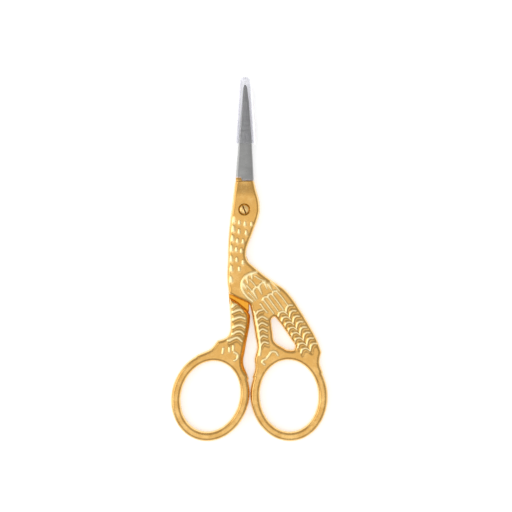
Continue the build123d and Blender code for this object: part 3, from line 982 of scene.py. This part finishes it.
# %% Sizes and corners of a blade
root_left = -blade_low[0]
root_right = blade_high[0]
gilded_thickness = blade_high[2] - front_inner
root_thickness = 1.35
tip_thickness = 0.5
grind_shoulder = 0.8
spine_bevel = 0.6
spine_drop = 0.42
edge_bevel = 0.35
edge_land = 0.15
face_fall = 0.5  # how far the face leans down towards the cutting edge
back_blade_inset = root_left + back_blade_low[0]
broken_corner = 0.06
root_corner = 0.6  # rounding where the blade grows out of the forging
face_columns = 10
# Each row: share of the way up, then what is left of the root's width to the left and to the right
blade_row_shares = [
    (0.0, 1.0, 1.0), (0.4, 0.645, 0.8), (0.8, 0.28, 0.51), (0.97, 0.125, 0.32), (1.0, 0.0, 0.2),
]
grind_left, grind_right = 10.3, 9.45  # where the grinding ends on the left and on the right
grind_step = (-1.2, -0.6)  # across, where it steps from one to the other


def broken(profile, radius, turns=4):
    """A closed profile whose corners are rounded."""
    line = []
    for before, corner, after in zip(np.roll(profile, 1, 0), profile, np.roll(profile, -1, 0)):
        back, ahead = before - corner, after - corner
        cut = min(radius, np.linalg.norm(back) / 3, np.linalg.norm(ahead) / 3)
        start = corner + cut * back / np.linalg.norm(back)
        end = corner + cut * ahead / np.linalg.norm(ahead)
        for t in np.linspace(0, 1, turns):
            line.append((1 - t) ** 2 * start + 2 * t * (1 - t) * corner + t**2 * end)
    return np.array(line)


print("a blade tapers from", root_thickness, "mm thick to", tip_thickness)

# %% [markdown]
# A section runs along the flat inner face to the spine, over the outer face and down to the cutting
# edge. At the root it still has the thickness of the gilded forging, and the grinding thins it where
# the gold ends. The other blade is the same section turned over.

# %% Section of a blade
def blade_section(rise, inner_level, way, inset):
    """One closed section of a blade, as points across and up."""
    start = shoulder_rise + grind_shoulder
    share = np.clip((rise - start) / (blade_reach - start), 0, 1)
    up, lefts, rights = (np.array(column) for column in zip(*blade_row_shares))
    left = -np.interp(share, up, lefts) * (root_left - inset)
    right = np.interp(share, up, rights) * (root_right - inset)
    ground = root_thickness + share * (tip_thickness - root_thickness)
    bevel_share = (right - left) / (root_left + root_right - 2 * inset)
    spine, edge = (left, right) if way > 0 else (right, left)
    turn = 1 if spine < edge else -1

    def thick(x):
        """Thickness at a place across, full on the gilded root and ground beyond it."""
        line_rise = grind_left + (grind_right - grind_left) * ease(*grind_step, x)
        grinding = ease(line_rise - grind_shoulder, line_rise, rise)
        return gilded_thickness + (ground - gilded_thickness) * grinding

    top = [spine + turn * bevel_share * spine_bevel, edge - turn * bevel_share * edge_bevel]
    across = np.linspace(*top, face_columns)
    fall = face_fall * bevel_share * np.linspace(0, 1, face_columns) ** 2
    formed = ease(shoulder_rise, grind_right, rise)  # from the forging's form to the ground one
    face = [(x, thick(x) - drop * formed) for x, drop in zip(across, fall)]
    spine_top = (spine, thick(spine) - bevel_share * spine_drop)
    profile = [(spine, 0), spine_top, *face, (edge, edge_land), (edge, 0)]
    radius = broken_corner + (root_corner - broken_corner) * (1 - formed)
    section = broken(np.array(profile), radius)
    section[:, 1] = inner_level + way * section[:, 1]
    return section[::way * turn]


root_section = blade_section(shoulder_rise, front_inner, 1, 0)
root_size = np.ptp(root_section, axis=0).round(2)
print("a section has", len(root_section), "points and is", root_size, "mm at the root")

# %% [markdown]
# The sections sit close together near the gilded root, where the form changes fast, and further apart
# along the straight blade. Rows of points become a closed skin, with a fan at each end.

# %% Loft the blades
root_rows = 24
blade_rows = 70
end_of_root = 10.8
flat_weight = 100  # the large faces decide how the skin is shaded


def loft(name, rows, body, node):
    """A closed skin through rows of points, each row a closed section."""
    count = len(rows[0])
    faces = []
    for r in range(len(rows) - 1):
        for c in range(count):
            d = (c + 1) % count
            faces.append((r * count + c, r * count + d, (r + 1) * count + d, (r + 1) * count + c))
    faces.append(list(range(count))[::-1])
    faces.append([(len(rows) - 1) * count + c for c in range(count)])
    return new_piece(name, np.vstack(rows), faces, body, [node])


def loft_blade(name, inner_level, way, inset, body, node):
    """Sections from the shoulder to the tip, skinned."""
    root = np.linspace(shoulder_rise, end_of_root, root_rows)[:-1]
    beyond = np.linspace(end_of_root, blade_reach, blade_rows)
    rows = []
    for rise in np.concatenate([root, beyond]):
        section = blade_section(rise, inner_level, way, inset)
        rows.append(np.stack([section[:, 0], np.full(len(section), rise), section[:, 1]], axis=1))
    blade = loft(name, rows, body, node)
    flats = blade.modifiers.new("flat_faces", "WEIGHTED_NORMAL")
    flats.weight = flat_weight
    return blade


front_steel = loft_blade("front_ground_blade", front_inner, 1, 0, "front_half", "front_blade")
back_steel = loft_blade("back_ground_blade", back_inner, -1, back_blade_inset, "back_half", "back_blade")

# %% [markdown]
# ## Pivot screw
#
# The bird's eye is a small slotted screw with a domed head. Its solid is a dome, a plain shank and a
# slot, and the edges of the slot are softly worn.

# %% Solid of the screw
head_radius = (screw_high[0] - screw_low[0]) / 2
screw_crown = screw_high[2]
head_height = 0.72
head_dome = 0.34
head_round = 0.14
slot_width = 0.44
slot_depth = 0.36
slot_turn = np.radians(112)
slot_wear = 0.05


def screw_at(x, y, z):
    """Distance inside the screw at any places."""
    from_axis = np.hypot(x, y)
    dome = screw_crown - head_dome * (from_axis / head_radius) ** 2
    side, face = head_round - (head_radius - from_axis), head_round - (dome - z)
    corner = np.hypot(np.maximum(side, 0), np.maximum(face, 0))
    head = head_round - corner - np.minimum(np.maximum(side, face), 0)
    head = np.minimum(head, z - (screw_crown - head_height))
    shank = np.minimum(screw_shank - from_axis, z - screw_low[2])
    away = np.abs(-x * np.sin(slot_turn) + y * np.cos(slot_turn))
    slot = np.minimum(slot_width / 2 - away, z - (screw_crown - slot_depth))
    worn = np.maximum(slot_wear - np.abs(head + slot), 0) / slot_wear
    head = np.minimum(head, -slot) - worn**2 * slot_wear / 4
    return np.maximum(head, np.minimum(shank, screw_crown - head_height + slot_wear - z))


print(f"the head is {2 * head_radius:.2f} mm wide, its slot {slot_width} mm")

# %% [markdown]
# It is sampled in the same way as the forgings, only on a finer grid, so that the slot meets the dome
# cleanly. Painted light is stored here too: a painted highlight on the head, and painted shade in the
# slot and below the head.

# %% Turn the screw
# Painted highlight on the screw head.
head_highlight = 0.4
screw_step = 0.05
screw_rise_step = 0.07
below_screw = 1.4  # steps under its foot where the samples begin

plan = Plan(screw_low, screw_high, screw_step)
lowest = screw_low[2] - below_screw * screw_rise_step
levels = np.arange(lowest, screw_crown + 2 * screw_rise_step, screw_rise_step)
samples = np.stack([screw_at(plan.x, plan.y, np.full(plan.x.shape, z)) for z in levels], axis=-1)
steps = np.array([screw_step, screw_step, screw_rise_step])
vertices, quads = surface_net(samples, np.array([*plan.low, levels[0]]), steps)
vertices = settle(vertices, screw_at)
eye_screw = new_piece("slotted_screw", vertices, quads, "back_half", ["pivot_screw"])
# Painted shade in the slot and below the head, a painted highlight on the head.
x, y, z = vertices.T
in_slot = np.abs(-x * np.sin(slot_turn) + y * np.cos(slot_turn)) < slot_width / 2 - slot_wear / 2
below_head = z < screw_crown - head_dome - head_round
store_wear_and_painted_light(eye_screw, np.where(in_slot | below_head, -1, head_highlight))

# %% [markdown]
# ## Tip cap
#
# A clear soft sleeve guards the points. It was dip moulded, so its walls are even, its corners are
# round, its end is a dome, and three low rings give the fingers a grip. One function gives its section
# at any height, for the outside and the inside alike.

# %% Section of the cap
cap_mouth, cap_end = cap_low[1], cap_high[1]
cap_middle = (0.22, front_top / 2)
mouth_width, top_width = 6.9, 3.9
mouth_thickness, top_thickness = 3.9, 3.0
cap_corner_share = 0.45
dome_turns = 16
rib_count = 3
first_rib = 3.9
rib_pitch = 1.6
rib_height = 0.16
rib_reach = 0.22
cap_points = 64


def cap_section(rise, inset, shrink=1.0):
    """A rounded rectangle of the sleeve at a height, drawn in by an inset and then shrunk."""
    share = (rise - cap_mouth) / (cap_end - cap_mouth)
    half_width = (mouth_width + share * (top_width - mouth_width)) / 2
    half_thick = (mouth_thickness + share * (top_thickness - mouth_thickness)) / 2
    corner = 2 * cap_corner_share * half_thick
    turn = np.linspace(0, 2 * np.pi, cap_points, endpoint=False) + np.pi / cap_points
    x = np.sign(np.cos(turn)) * (half_width - corner) + (corner - inset) * np.cos(turn)
    z = np.sign(np.sin(turn)) * (half_thick - corner) + (corner - inset) * np.sin(turn)
    across = cap_middle[0] + shrink * x
    up = cap_middle[1] + shrink * z
    return np.stack([across, np.full(cap_points, rise), up], axis=1)


def ribs(rise):
    """How far the grip rings stand out at a height."""
    places = cap_mouth + first_rib + rib_pitch * np.arange(rib_count)
    return rib_height * np.exp(-(((rise - places) / rib_reach) ** 2)).sum()


def dome_rows(end, inset, radius):
    """Rows that close the sleeve with a rounded end."""
    turns = np.linspace(0, np.pi / 2, dome_turns)[1:-1]
    return [cap_section(end - radius * (1 - np.sin(turn)), inset, np.cos(turn)) for turn in turns]


print(f"the cap is {cap_end - cap_mouth:.1f} mm long, its mouth {mouth_width} by {mouth_thickness} mm")

# %% [markdown]
# It is lofted as one skin that runs down the inside, turns over a rounded lip at the mouth and comes
# back up the outside, so that light passes through two true surfaces.

# %% Loft the cap
cap_wall = 0.55
end_round = 1.9
lip_turns = 5
cap_rows = 90

outer_rises = np.linspace(cap_mouth + cap_wall / 2, cap_end - end_round, cap_rows)
outside = [cap_section(rise, -ribs(rise)) for rise in outer_rises]
outside += dome_rows(cap_end, 0, end_round)
inner_end = cap_end - cap_wall
inner_round = end_round - cap_wall
inner_rises = np.linspace(cap_mouth + cap_wall / 2, inner_end - inner_round, cap_rows // 3)
inside = [cap_section(rise, cap_wall) for rise in inner_rises]
inside += dome_rows(inner_end, cap_wall, inner_round)
lip = []
for turn in np.linspace(0, np.pi, lip_turns + 2)[1:-1]:
    rise = cap_mouth + cap_wall / 2 * (1 - np.sin(turn))
    lip.append(cap_section(rise, cap_wall / 2 * (1 + np.cos(turn))))
clear_cap = loft("clear_tip_cap", inside[::-1] + lip + outside, "cap", "tip_cap")

# %% [markdown]
# ## Finishes
#
# Every finish is made of nodes, so it has detail at any distance. A small helper keeps that readable:
# it adds a node, sets its plain values and links whatever else is given to it.

# %% Helper for node materials
class NodeMaterial:
    """A node material, its Principled shader and the places on its piece."""

    def __init__(self, name):
        self.material = bpy.data.materials.new(name)
        self.material.use_nodes = True
        self.tree = self.material.node_tree
        self.shader = self.tree.nodes["Principled BSDF"]
        self.place = self.tree.nodes.new("ShaderNodeTexCoord").outputs["Object"]

    def feed(self, node, inputs):
        """Sets or links inputs of a node."""
        for name, value in inputs.items():
            if isinstance(value, bpy.types.NodeSocket):
                self.tree.links.new(value, node.inputs[name])
            else:
                node.inputs[name].default_value = value

    def add(self, kind, inputs, output=0, **settings):
        """Adds a node and gives back one of its outputs."""
        node = self.tree.nodes.new("ShaderNode" + kind)
        for name, value in settings.items():
            setattr(node, name, value)
        self.feed(node, inputs)
        return node.outputs[output]

    def done(self, *pieces):
        """Gives the finish to pieces."""
        for piece in pieces:
            piece.data.materials.clear()
            piece.data.materials.append(self.material)
        names = [piece.name for piece in pieces]
        print(self.material.name, "has", len(self.tree.nodes), "nodes, on", names)


print("a node material can", [name for name in vars(NodeMaterial) if name[0] != "_"])

# %% [markdown]
# The same few patterns come back in every finish: a ramp of colours, noise of a stated size, a value
# carried to another range, two colours blended, and a bump of a stated depth. Sizes are in millimetres,
# so a finish can be judged against the real thing.

# %% Patterns of a finish
class Finish(NodeMaterial):
    """A node material with the patterns that the finishes share."""

    def ramp(self, value, stops):
        """A colour ramp through (place, colour) stops."""
        node = self.tree.nodes.new("ShaderNodeValToRGB")
        node.color_ramp.elements[0].position = stops[0][0]
        node.color_ramp.elements[0].color = (*stops[0][1], 1)
        node.color_ramp.elements[1].position = stops[-1][0]
        node.color_ramp.elements[1].color = (*stops[-1][1], 1)
        for place, colour in stops[1:-1]:
            node.color_ramp.elements.new(place).color = (*colour, 1)
        self.tree.links.new(value, node.inputs[0])
        return node.outputs["Color"]

    def noise(self, size_mm, detail=2.0, stretch=(1, 1, 1)):
        """Noise whose patches are about a given size, stretched along some axes."""
        scale = tuple(1 / (size_mm * MM * s) for s in stretch)
        place = self.add("Mapping", {"Vector": self.place, "Scale": scale})
        inputs = {"Vector": place, "Scale": 1.0, "Detail": detail}
        return self.add("TexNoise", inputs, noise_dimensions="3D")

    def spread(self, value, low, high, from_low=0.3, from_high=0.7):
        """Carries a value from one range to another."""
        ends = {"From Min": from_low, "From Max": from_high, "To Min": low, "To Max": high}
        return self.add("MapRange", {"Value": value, **ends})

    def blend(self, factor, first, second):
        """A colour between two colours."""
        node = self.tree.nodes.new("ShaderNodeMix")
        node.data_type = "RGBA"
        fac, a, b = node.inputs[0], node.inputs[6], node.inputs[7]
        for socket, value in ((fac, factor), (a, first), (b, second)):
            if isinstance(value, bpy.types.NodeSocket):
                self.tree.links.new(value, socket)
            else:
                socket.default_value = value
        return node.outputs[2]

    def bump(self, height, depth_mm, strength, normal=None):
        """A bump whose full height is a depth in millimetres."""
        inputs = {"Height": height, "Distance": depth_mm * MM, "Strength": strength}
        if normal is not None:
            inputs["Normal"] = normal
        return self.add("Bump", inputs)


print("its patterns are", [name for name in vars(Finish) if name[0] != "_"])

# %% [markdown]
# ## Gilding
#
# The halves are gold plated steel, satin from tumbling. The crests of the feathers get a painted
# highlight in pale champagne, and the hollows painted shade in a deep, reddish gold. The height stored on
# the mesh drives that, with broad blotches from noise so no two feathers are alike, and a fine grain in
# the bump.

# %% Gilding
# From painted shade in deep, reddish gold to a painted highlight in pale champagne.
gold_shade_to_highlight = [
    (0.0, (0.70, 0.31, 0.03)),
    (0.3, (0.61, 0.33, 0.072)),
    (0.5, (0.6, 0.34, 0.097)),
    (0.72, (0.96, 0.67, 0.28)),
    (1.0, (1.0, 0.83, 0.47)),
]
rich = 3.0  # detail of a noise with fine parts, next to the plain two
blotch_mm, blotch_tone = 2.6, 0.09
speck_mm, speck_tone = 0.35, 0.045
grain_mm, grain_depth, grain_strength = 0.09, 0.008, 0.3
ripple_mm, ripple_depth, ripple_strength = 1.1, 0.03, 0.5
sheen_mm, sheen_low, sheen_high = 0.7, 0.19, 0.29
crest_sheen = 0.08  # how much duller the rubbed crests are


def gold_colour(finish, height):
    """Gold from painted shade at minus one to painted highlight at one, with tone that varies at random.
    """
    blotch = finish.spread(finish.noise(blotch_mm, rich), -blotch_tone, blotch_tone)
    speck = finish.spread(finish.noise(speck_mm), -speck_tone, speck_tone)
    varied = finish.add("Math", {0: height, 1: blotch}, operation="ADD")
    varied = finish.add("Math", {0: varied, 1: speck}, operation="ADD")
    return finish.ramp(finish.spread(varied, 0, 1, -1, 1), gold_shade_to_highlight)


gilding = Finish("satin_gilding")
# The stored tone: painted shade at minus one, painted highlight at one.
crest = gilding.add("Attribute", {}, output="Fac", attribute_name="crest")
above_field = gilding.add("Math", {0: crest, 1: 0.0}, operation="MAXIMUM")
sheen = gilding.spread(gilding.noise(sheen_mm, rich), sheen_low, sheen_high)
sheen = gilding.add("Math", {0: above_field, 1: crest_sheen, 2: sheen}, operation="MULTIPLY_ADD")
ripple = gilding.bump(gilding.noise(ripple_mm), ripple_depth, ripple_strength)
grain = gilding.bump(gilding.noise(grain_mm, rich), grain_depth, grain_strength, ripple)
gilding.shader.inputs["Metallic"].default_value = 1
gilding.feed(gilding.shader, {
    "Base Color": gold_colour(gilding, crest), "Roughness": sheen, "Normal": grain,
})
gilding.done(front_skin, back_skin)

# %% [markdown]
# ## Ground steel
#
# The blades are bare steel, ground across their length and buffed. The plating stops unevenly just
# above the shoulder, where the grinding wheel took it off. So the finish first asks how far each place
# lies past that line, which steps down from left to right and wanders a little.

# %% Where the gilding ends
gold_edge_left, gold_edge_right = 10.3, 9.3
gold_step_start, gold_step_end = -1.15, -0.6  # across, where the line steps down
wander_mm, wander_reach = 0.5, 0.14
rosy_start, rosy_end = -0.05, 0.5  # past the line, where the rosy tint begins and has faded
gold_start, gold_end = -0.12, 0.02  # past the line, where the gold thins and has gone

steel = Finish("ground_steel")
axes = steel.tree.nodes.new("ShaderNodeSeparateXYZ")
steel.tree.links.new(steel.place, axes.inputs[0])
edge_rise = steel.add("MapRange", {
    "Value": axes.outputs["X"], "From Min": gold_step_start * MM, "From Max": gold_step_end * MM,
    "To Min": gold_edge_left * MM, "To Max": gold_edge_right * MM,
})
past_edge = steel.add("Math", {0: axes.outputs["Y"], 1: edge_rise}, operation="SUBTRACT")
wander = steel.spread(steel.noise(wander_mm, rich), -wander_reach * MM, wander_reach * MM)
past_edge = steel.add("Math", {0: past_edge, 1: wander}, operation="ADD")
rosy_to_bare = {"Value": past_edge, "From Min": rosy_start * MM, "From Max": rosy_end * MM}
gold_to_bare = {"Value": past_edge, "From Min": gold_start * MM, "From Max": gold_end * MM}
nearly = steel.add("MapRange", rosy_to_bare)
reached = steel.add("MapRange", gold_to_bare)
print("gilding ends between", gold_edge_right, "and", gold_edge_left, "mm above the pivot")

# %% [markdown]
# Bare steel isn't grey paint: it is a mirror broken up by fine scratches. Noise stretched forty times
# along the width gives the wheel's marks, a broader one the uneven pressure, and both tint the metal
# and roughen it. Heat from the wheel leaves the steel a soft rosy tint next to the gold.

# %% Ground steel with a gilded root
rosy = (0.52, 0.43, 0.42, 1)
steel_stops = [(0.3, (0.27, 0.27, 0.265)), (0.5, (0.31, 0.31, 0.305)), (0.7, (0.35, 0.35, 0.345))]
mark_mm, mark_stretch, mark_depth = 0.03, (40, 1, 10), 0.006
broad_mm, broad_stretch = 1.6, (2, 1, 1)
mark_share = 0.5  # of the fine and of the broad marks in the tone
patch_mm, patch_tone = 1.5, 0.1
gold_sheen, steel_sheen_low, steel_sheen_high = 0.24, 0.26, 0.4
gold_mark, steel_mark = 0.08, 0.5  # strength of the marks on gold and on steel

grind_marks = steel.noise(mark_mm, stretch=mark_stretch)
broad_marks = steel.noise(broad_mm, stretch=broad_stretch)
marks = steel.add("Math", {0: broad_marks, 1: mark_share}, operation="MULTIPLY")
marks = steel.add("Math", {0: grind_marks, 1: mark_share, 2: marks}, operation="MULTIPLY_ADD")
bare = steel.blend(nearly, rosy, steel.ramp(marks, steel_stops))
plain_gold = gold_colour(steel, steel.spread(steel.noise(patch_mm), -patch_tone, patch_tone))
steel_sheen = steel.spread(grind_marks, steel_sheen_low, steel_sheen_high)
mark_strength = steel.add("MapRange", {"Value": reached, "To Min": gold_mark, "To Max": steel_mark})
steel.shader.inputs["Metallic"].default_value = 1
steel.feed(steel.shader, {
    "Base Color": steel.blend(reached, plain_gold, bare),
    "Roughness": steel.add("MapRange", {"Value": reached, "To Min": gold_sheen, "To Max": steel_sheen}),
    "Normal": steel.bump(grind_marks, mark_depth, mark_strength),
})
steel.done(front_steel, back_steel)

# %% [markdown]
# ## Screw
#
# The screw's head was turned, so its grain runs in circles round the axis. The slot is darker at the
# bottom, from painted shade, and the head gets a painted highlight.

# %% Turned gilding on the screw
# Painted shade in dark brown for the slot, and gold with a painted highlight for the head.
slot_shade_brown = (0.10, 0.045, 0.012, 1)
slot_shade_end, head_highlight_start = -0.9, -0.2  # stored values of the painted slot shade and of the painted head highlight
turning_speed = 22000.0  # how fast the turned grain changes outwards
turning_depth, turning_strength = 0.006, 0.35
screw_sheen_mm, screw_sheen_low, screw_sheen_high = 0.3, 0.2, 0.32

turned = Finish("turned_gilding")
flat_place = turned.add("VectorMath", {0: turned.place, 1: (1, 1, 0)}, operation="MULTIPLY")
from_axis = turned.add("VectorMath", {0: flat_place}, output="Value", operation="LENGTH")
turns = turned.add("Math", {0: from_axis, 1: turning_speed}, operation="MULTIPLY")
rings = turned.add("TexNoise", {"W": turns}, noise_dimensions="1D")
screw_painted_light = turned.add("Attribute", {}, output="Fac", attribute_name="crest")
slot_shade = turned.add("MapRange", {"Value": screw_painted_light, "From Min": slot_shade_end, "From Max": head_highlight_start})
turned.shader.inputs["Metallic"].default_value = 1
turned.feed(turned.shader, {
    "Base Color": turned.blend(slot_shade, slot_shade_brown, gold_colour(turned, screw_painted_light)),
    "Roughness": turned.spread(turned.noise(screw_sheen_mm), screw_sheen_low, screw_sheen_high),
    "Normal": turned.bump(rings, turning_depth, turning_strength),
})
turned.done(eye_screw)

# %% [markdown]
# ## Clear vinyl
#
# Clear vinyl is glass-like but soft: a little cloudy, faintly lavender, with shallow ripples from
# dipping.

# %% Clear vinyl
edge_lavender = (0.57, 0.57, 0.69, 1)
cloud_stops = [(0.3, (0.955, 0.955, 0.98)), (0.7, (0.985, 0.985, 1.0))]
vinyl_bending = 1.28  # index of refraction
edge_reach = 0.35
cloud_mm, haze_mm, haze = 3.0, 2.0, 0.05
dip_mm, dip_depth, dip_strength = 3.0, 0.02, 0.3
smooth = 1.0  # detail of a noise without fine parts

vinyl = Finish("dipped_vinyl")
vinyl.shader.inputs["Transmission Weight"].default_value = 1
vinyl.shader.inputs["IOR"].default_value = vinyl_bending
cloudy = vinyl.ramp(vinyl.noise(cloud_mm), cloud_stops)
edge_on = vinyl.add("LayerWeight", {"Blend": edge_reach}, output="Facing")
vinyl.feed(vinyl.shader, {
    "Base Color": vinyl.blend(edge_on, cloudy, edge_lavender),
    "Roughness": vinyl.spread(vinyl.noise(haze_mm), 0.0, haze),
    "Normal": vinyl.bump(vinyl.noise(dip_mm, smooth), dip_depth, dip_strength),
})
vinyl.done(clear_cap)

# %% [markdown]
# ## Table
#
# The scissors lie on plain white paper. It glows a little for the camera and in reflections, so it
# reads as white without more light falling on the metal, and it keeps the soft shadow.

# %% Table
table_size = 1.4
paper_white = 0.86
glow_seen = 0.42
glow_mirrored = 0.5
glow_through = 0.36
paper_dullness = 0.9

bpy.ops.mesh.primitive_plane_add(size=table_size)
table = bpy.context.object
table.name = "table"
paper = Finish("white_paper")
ray = paper.tree.nodes.new("ShaderNodeLightPath")
seen_by_way = paper.add("MapRange", {
    "Value": ray.outputs["Is Transmission Ray"], "To Min": glow_mirrored, "To Max": glow_through,
})
ways = {0: ray.outputs["Is Glossy Ray"], 1: ray.outputs["Is Transmission Ray"]}
either = paper.add("Math", ways, operation="MAXIMUM")
mirrored = paper.add("Math", {0: either, 1: seen_by_way}, operation="MULTIPLY")
camera_glow = {0: ray.outputs["Is Camera Ray"], 1: glow_seen, 2: mirrored}
glow = paper.add("Math", camera_glow, operation="MULTIPLY_ADD")
paper.shader.inputs["Specular IOR Level"].default_value = 0
paper.shader.inputs["Roughness"].default_value = paper_dullness
paper.shader.inputs["Base Color"].default_value = (paper_white, paper_white, paper_white, 1)
paper.shader.inputs["Emission Color"].default_value = (1, 1, 1, 1)
paper.feed(paper.shader, {"Emission Strength": glow})
paper.done(table)

# %% [markdown]
# ## Light
#
# Metal shows only what it mirrors, so the lamps are shaped like the studio: one large softbox to the
# left, which draws the pale left sides of every feather, and a dimmer one overhead for the flat faces.
# The world is the pale room beyond them.

# %% Light
room = 0.68
lit_middle = (0, -0.015, 0)
world = bpy.context.scene.world or bpy.data.worlds.new("studio")
bpy.context.scene.world = world
world.use_nodes = True
world.node_tree.nodes["Background"].inputs["Color"].default_value = (1, 1, 1, 1)
world.node_tree.nodes["Background"].inputs["Strength"].default_value = room


def softbox(name, place, size, brightness):
    """A rectangular lamp aimed at the scissors. A brightness of one looks as bright as white paper."""
    lamp = bpy.data.lights.new(name, "AREA")
    lamp.shape = "RECTANGLE"
    lamp.size, lamp.size_y = size
    lamp.energy = brightness * np.pi * size[0] * size[1]
    holder = bpy.data.objects.new(name, lamp)
    bpy.context.scene.collection.objects.link(holder)
    holder.location = place
    holder.rotation_euler = (Vector(lit_middle) - Vector(place)).to_track_quat("-Z", "Y").to_euler()
    print(name, "at", place, "brightness", brightness)


softbox("left_softbox", place=(-0.55, 0.05, 0.3), size=(0.55, 0.6), brightness=1.35)
softbox("top_softbox", place=(0.0, -0.16, 0.75), size=(0.55, 0.58), brightness=0.7)

# %% [markdown]
# ## Camera
#
# The photograph was taken from straight above. A long lens keeps the rings round, and the height
# follows from the scale at which the outline was drawn.

# %% Camera
lens_mm = 120.0
sensor_mm = 36.0
frame_px = 512
view_level = 3.0  # height at which the outline's scale was taken
centre = on_bird((frame_px / 2, frame_px / 2))[0]
frame_width = frame_px * tail_reach / (tail_tip_px[0] - pivot_px[0])
camera_data = bpy.data.cameras.new("camera")
camera_data.lens = lens_mm
camera_data.sensor_width = sensor_mm
camera = bpy.data.objects.new("camera", camera_data)
bpy.context.scene.collection.objects.link(camera)
camera.location = Vector((centre[0], centre[1], view_level + frame_width * lens_mm / sensor_mm)) * MM
bpy.context.scene.camera = camera
bpy.context.scene.view_settings.view_transform = "Standard"
print(f"camera {camera.location.z:.3f} m above the table, frame {frame_width:.1f} mm wide")

# %% [markdown]
